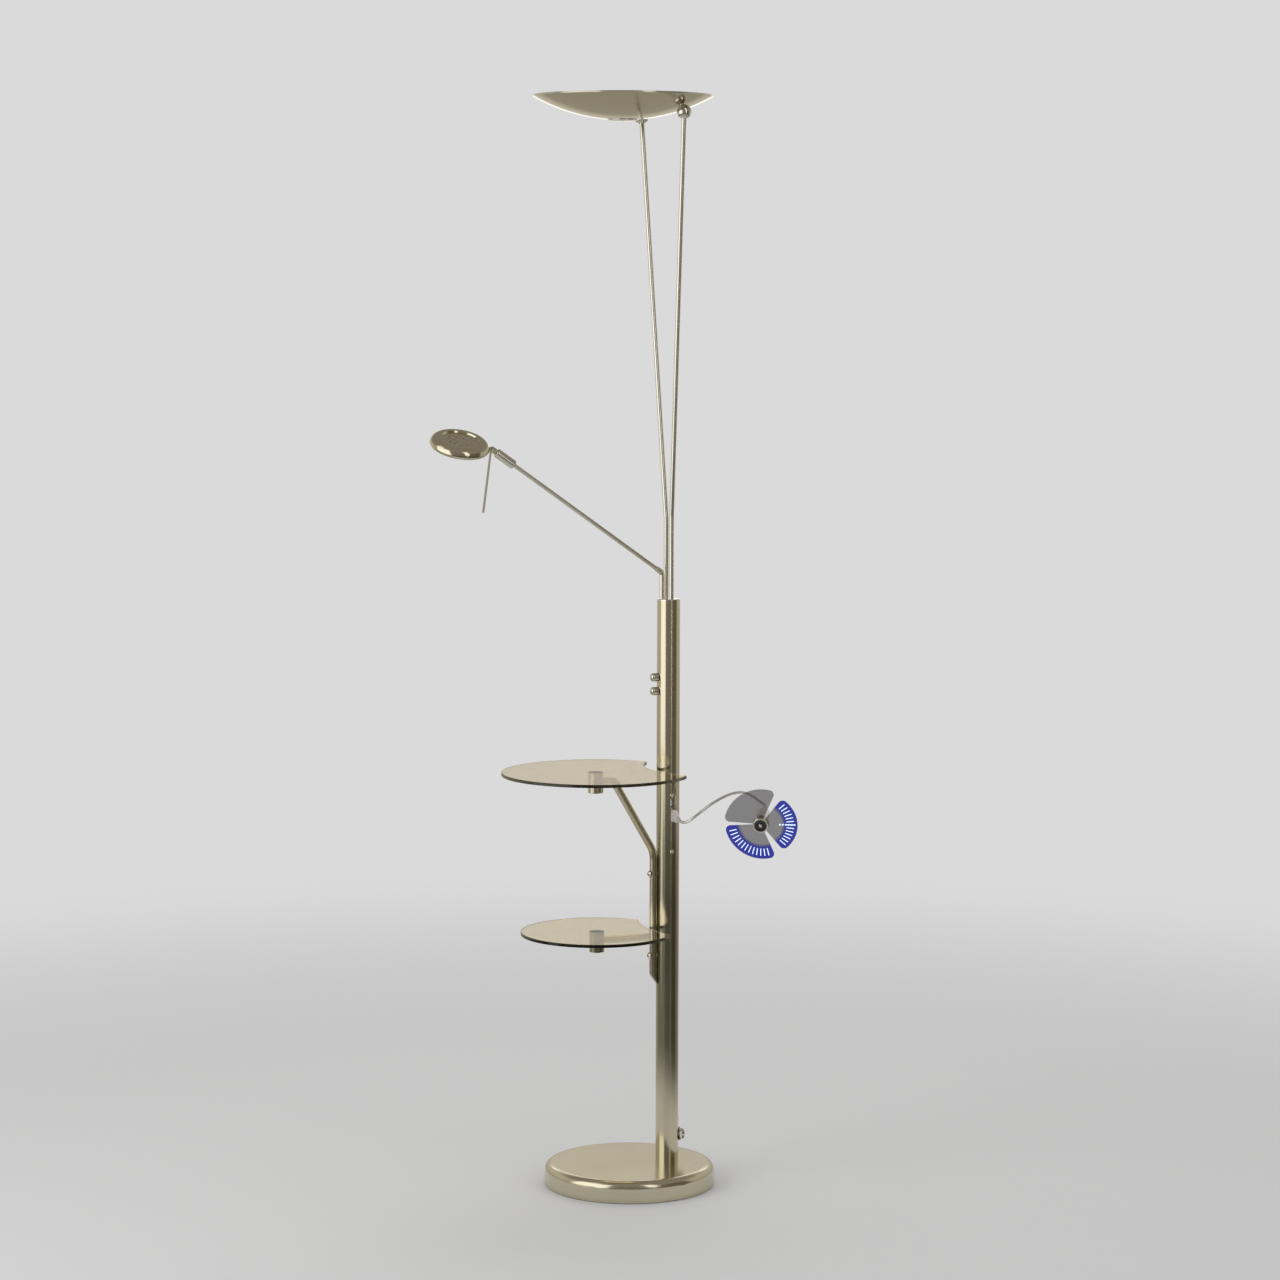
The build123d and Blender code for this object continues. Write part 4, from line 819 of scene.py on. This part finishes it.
class LAMP_OT_rim(bpy.types.Operator):
    """Roll the bright bead along the dish's rim and fit the domed cap under the dish"""
    bl_idname = "lamp.rim"
    bl_label = "Dish rim and cap"

    RIM_R = 145.4
    RIM_Z = 1798.85
    CAP = (
        (0, 1757.8), (6, 1757.85), (12, 1758.05), (18, 1758.45), (22, 1758.95), (24, 1759.4), (24.8, 1760.0),
        (25, 1760.6), (24.8, 1761.2), (0, 1760.3),
    )

    def execute(self, context):
        bead = context.scene.lamp_sizes.bead / MM
        corners = 12
        angles = (math.tau * step / corners for step in range(corners))
        outline = [(self.RIM_R + bead * math.cos(a), self.RIM_Z + bead * math.sin(a)) for a in angles]
        material = polished("rim_plate", tuple(context.scene.lamp_finishes.bright), 0.14)
        rim = lathed("dish_rim", outline, Matrix.Translation(DISH_AXIS), material, 192)
        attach(rim, "dish")
        plate = polished("cap_plate", (0.96, 0.95, 0.92), 0.24)
        cap = lathed("dish_cap", self.CAP, Matrix.Translation(DISH_AXIS), plate)
        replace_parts(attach(cap, "dish"), "dish_bottom_disc")
        return {"FINISHED"}


# Stage

CAMERA_AZIMUTH = -21.0
CAMERA_ELEVATION = 5.723
CAMERA_ROLL = math.radians(0.154)
CAMERA_DISTANCE = 5.7698
LENS = 98.5
SIDEWAYS = Vector((math.cos(math.radians(CAMERA_AZIMUTH)), math.sin(math.radians(CAMERA_AZIMUTH)), 0))
CAMERA_TARGET = SIDEWAYS * 0.01543 + UP * 0.91216

WALL_R = 3.4
WALL_LOW = -2.2
WALL_TOP = 6.0
GLOSSY_FLOOR_R = 0.5
GLOSSY_FLOOR_FADE = 0.5
FLOOR_R = 30.0
DIM = (0.27, 0.255, 0.225)
UNDER = (0.37, 0.355, 0.31)
# What the plating sees round it: azimuth in degrees, and the colour of the card there
CARDS = (
    (-180, (0.60, 0.56, 0.48)), (-125, (0.58, 0.55, 0.48)), (-108, (0.46, 0.44, 0.38)),
    (-48, (0.40, 0.39, 0.33)), (-44, (0.22, 0.215, 0.185)), (8, (0.20, 0.195, 0.17)),
    (10, (0.66, 0.65, 0.61)), (13.5, (0.66, 0.65, 0.61)), (16, (0.16, 0.14, 0.10)),
    (64, (0.14, 0.12, 0.085)), (72, (0.50, 0.48, 0.43)), (110, (0.55, 0.53, 0.47)),
    (180, (0.60, 0.56, 0.48)),
)
# The brighter cards, as their first and last azimuth
LEFT_BOX = (-102, -51)
STREAK = (-94, -78)
FRONT_BOX = (5, 19)
SPOT = (11.4, 13.2)
BACK_CARD = (138, 180)
SOFT_BOX = 1.5
HOT_SPOT = 3.0
# Area lamps: name, azimuth, distance, size, height and share of the power
LAMPS = (
    ("left_box", -79.0, 2.6, (1.6, 2.2), 1.5, 1.0),
    ("right_box", 30.0, 3.0, (1.2, 2.2), 1.5, 0.35),
    ("top_box", 150.0, 1.6, (2.0, 2.0), 3.0, 0.8),
)


class LAMP_OT_stage(bpy.types.Operator):
    """Make the floor, the soft lights and the camera"""
    bl_idname = "lamp.stage"
    bl_label = "Stage"

    def execute(self, context):
        scene = context.scene
        scene.view_settings.view_transform = "Standard"
        make_camera(scene)
        make_floor(scene)
        make_world(scene)
        make_wall(scene)
        make_lights(scene)
        return {"FINISHED"}


def make_camera(scene):
    data = bpy.data.cameras.new("photo_camera")
    camera = bpy.data.objects.new("photo_camera", data)
    scene.collection.objects.link(camera)
    back = around(CAMERA_AZIMUTH, CAMERA_ELEVATION)
    over = back.cross(SIDEWAYS)
    side = SIDEWAYS * math.cos(CAMERA_ROLL) + over * math.sin(CAMERA_ROLL)
    top = over * math.cos(CAMERA_ROLL) - SIDEWAYS * math.sin(CAMERA_ROLL)
    turn = Matrix((side, top, back)).transposed().to_4x4()
    camera.matrix_world = Matrix.Translation(CAMERA_TARGET + back * CAMERA_DISTANCE) @ turn
    data.lens = LENS
    data.sensor_width = 36.0
    data.clip_end = 100.0
    scene.camera = camera


def stage_mesh(scene, name, form, material):
    mesh = bpy.data.meshes.new(name)
    form.to_mesh(mesh)
    form.free()
    mesh.materials.append(material)
    made = bpy.data.objects.new(name, mesh)
    scene.collection.objects.link(made)
    return made


def seen_by_eye(tree):
    """1 for what the camera, a reflection or glass sees, and 0 for the light on the object."""
    path = tree.node("ShaderNodeLightPath")
    rays = [Wire(tree, path.outputs[ray]) for ray in ("Is Camera Ray", "Is Glossy Ray", "Is Transmission Ray")]
    return (rays[0] + rays[1] + rays[2]).math("MINIMUM", 1.0)


def make_floor(scene):
    """A pale card that keeps the lamp's shadow and runs out into the backdrop's tone."""
    studio = scene.lamp_studio
    finish = Finish("floor_card", Roughness=0.9, Specular_IOR_Level=0.15)
    place = finish.object_place()
    x, y, z = finish.split(place)
    radius = (x * x + y * y).math("SQRT")
    paper = finish.noise(place, 35.0, 4.0)
    finish.feed(Base_Color=finish.blend(paper, (studio.floor * 0.985,) * 3, (studio.floor,) * 3))
    glow = finish.node("ShaderNodeEmission", None, {"Color": (studio.pale,) * 3, "Strength": 1.0})
    sockets = {0: radius.between(1.1, 3.2) * seen_by_eye(finish), 1: finish.surface, 2: glow}
    card = finish.node("ShaderNodeMixShader", None, sockets)
    mirror = finish.wire(finish.node("ShaderNodeLightPath"), "Is Glossy Ray")
    clear = finish.node("ShaderNodeBsdfTransparent")
    far = radius.between(GLOSSY_FLOOR_R, GLOSSY_FLOOR_R + GLOSSY_FLOOR_FADE)
    sockets = {0: mirror * far, 1: card, 2: clear}
    mixed = finish.node("ShaderNodeMixShader", None, sockets)
    finish.plug(mixed, finish.nodes["Material Output"].inputs["Surface"])
    form = bmesh.new()
    bmesh.ops.create_circle(form, cap_ends=True, segments=64, radius=FLOOR_R)
    stage_mesh(scene, "floor", form, finish.material)


def make_world(scene):
    """Even light, and a backdrop that is pale at eye level and dimmer overhead."""
    studio = scene.lamp_studio
    world = bpy.data.worlds.new("studio")
    scene.world = world
    world.use_nodes = True
    tree = Tree(world.node_tree)
    x, y, z = tree.split(tree.node("ShaderNodeTexCoord").outputs["Generated"])
    upper = tree.blend(z.between(0.30, 0.62), (studio.pale,) * 3, DIM)
    shown = tree.blend(z.between(-0.40, -0.28), UNDER, upper)
    colour = tree.blend(seen_by_eye(tree), (studio.soft,) * 3, shown)
    tree.plug(colour, tree.nodes["Background"].inputs["Color"])


def make_wall(scene):
    """A ring of soft cards, light and dark, that only the reflections see.

    Low down the ring darkens in front of the lamp and takes the tone under it elsewhere, and
    high up it fades to the dim tone overhead.
    """
    finish = Finish("card_ring")
    x, y, z = finish.split(finish.object_place())
    bearing = x.math("ARCTAN2", y * -1.0) * (180 / math.pi)
    stops = [((azimuth + 180) / 360, colour) for azimuth, colour in CARDS]
    cards = finish.node("ShaderNodeValToRGB", {"stops": stops}, {"Fac": bearing / 360.0 + 0.5})
    dusk = finish.blend(0.66, cards, (0, 0, 0))
    high = finish.blend(z.between(2.0, 3.3), cards, DIM)
    ahead = finish.blend(z.between(-0.05, 0.24), dusk, high)
    behind = finish.blend(z.between(0.2, 0.6), UNDER, high)
    toned = finish.blend(bearing.inside(-128, 100, 10), behind, ahead)
    toned = finish.blend(z.between(-1.0, -0.6), UNDER, toned)
    left = bearing.inside(*LEFT_BOX, 3) * z.between(0.0, 0.34) * (1 - z.between(3.4, 4.2))
    streak = bearing.inside(*STREAK, 4) * z.between(-0.28, -0.12) * 0.6
    back = bearing.inside(*BACK_CARD, 3) * z.inside(1.30, 1.74, 0.08)
    front = bearing.inside(*FRONT_BOX, 2) * z.between(0.95, 1.35) * (1 - z.between(4.6, 5.4))
    spot = bearing.inside(*SPOT, 0.8) * z.inside(0.50, 0.56, 0.02)
    lamp = left
    for card in (front, spot, streak, back):
        lamp = lamp.math("MAXIMUM", card)
    power = lamp * (SOFT_BOX - 1) + spot * HOT_SPOT + 1.0
    colour = finish.blend(lamp, toned, (1, 1, 1))
    glow = finish.node("ShaderNodeEmission", None, {"Color": colour, "Strength": power})
    finish.plug(glow, finish.nodes["Material Output"].inputs["Surface"])
    form = bmesh.new()
    bmesh.ops.create_cone(form, segments=128, radius1=WALL_R, radius2=WALL_R, depth=WALL_TOP - WALL_LOW)
    bmesh.ops.translate(form, verts=form.verts, vec=UP * (WALL_TOP + WALL_LOW) / 2)
    wall = stage_mesh(scene, "card_ring", form, finish.material)
    wall.visible_camera = False
    wall.visible_diffuse = False
    wall.visible_transmission = False
    wall.visible_shadow = False


def make_lights(scene):
    power = scene.lamp_studio.boxes
    for name, azimuth, distance, size, height, share in LAMPS:
        data = bpy.data.lights.new(name, "AREA")
        data.shape = "RECTANGLE"
        data.size, data.size_y = size
        data.energy = power * share
        lamp = bpy.data.objects.new(name, data)
        scene.collection.objects.link(lamp)
        place = around(azimuth) * distance + UP * height
        lamp.location = place
        lamp.rotation_euler = (UP - place).to_track_quat("-Z", "Y").to_euler()
        lamp.visible_glossy = False
        lamp.visible_camera = False


# The add-on

GROUPS = {"lamp_finishes": LampFinishes, "lamp_sizes": LampSizes, "lamp_studio": LampStudio}
MAKERS = (
    LAMP_OT_finishes, LAMP_OT_gooseneck, LAMP_OT_plug_grip, LAMP_OT_port_tongue, LAMP_OT_filament,
    LAMP_OT_reflector, LAMP_OT_blade_lights, LAMP_OT_hub_face, LAMP_OT_rim, LAMP_OT_stage,
)


class LAMP_PT_sidebar(bpy.types.Panel):
    """The lamp's settings, and a button for each step"""
    bl_label = "Lamp"
    bl_space_type = "VIEW_3D"
    bl_region_type = "UI"
    bl_category = "Lamp"

    def draw(self, context):
        for name, kind in GROUPS.items():
            box = self.layout.box()
            for setting in kind.__annotations__:
                box.prop(getattr(context.scene, name), setting)
        for maker in MAKERS:
            self.layout.operator(maker.bl_idname)


def register():
    for kind in (*GROUPS.values(), *MAKERS, LAMP_PT_sidebar):
        bpy.utils.register_class(kind)
    for name, kind in GROUPS.items():
        setattr(bpy.types.Scene, name, PointerProperty(type=kind))


def unregister():
    for name in GROUPS:
        delattr(bpy.types.Scene, name)
    for kind in (LAMP_PT_sidebar, *reversed(MAKERS), *GROUPS.values()):
        bpy.utils.unregister_class(kind)


def main():
    register()
    bpy.ops.lamp.finishes()
    bpy.ops.lamp.gooseneck()
    bpy.ops.lamp.plug_grip()
    bpy.ops.lamp.port_tongue()
    bpy.ops.lamp.filament()
    bpy.ops.lamp.reflector()
    bpy.ops.lamp.blade_lights()
    bpy.ops.lamp.hub_face()
    bpy.ops.lamp.rim()
    bpy.ops.lamp.stage()


if __name__ == "__main__":
    main()
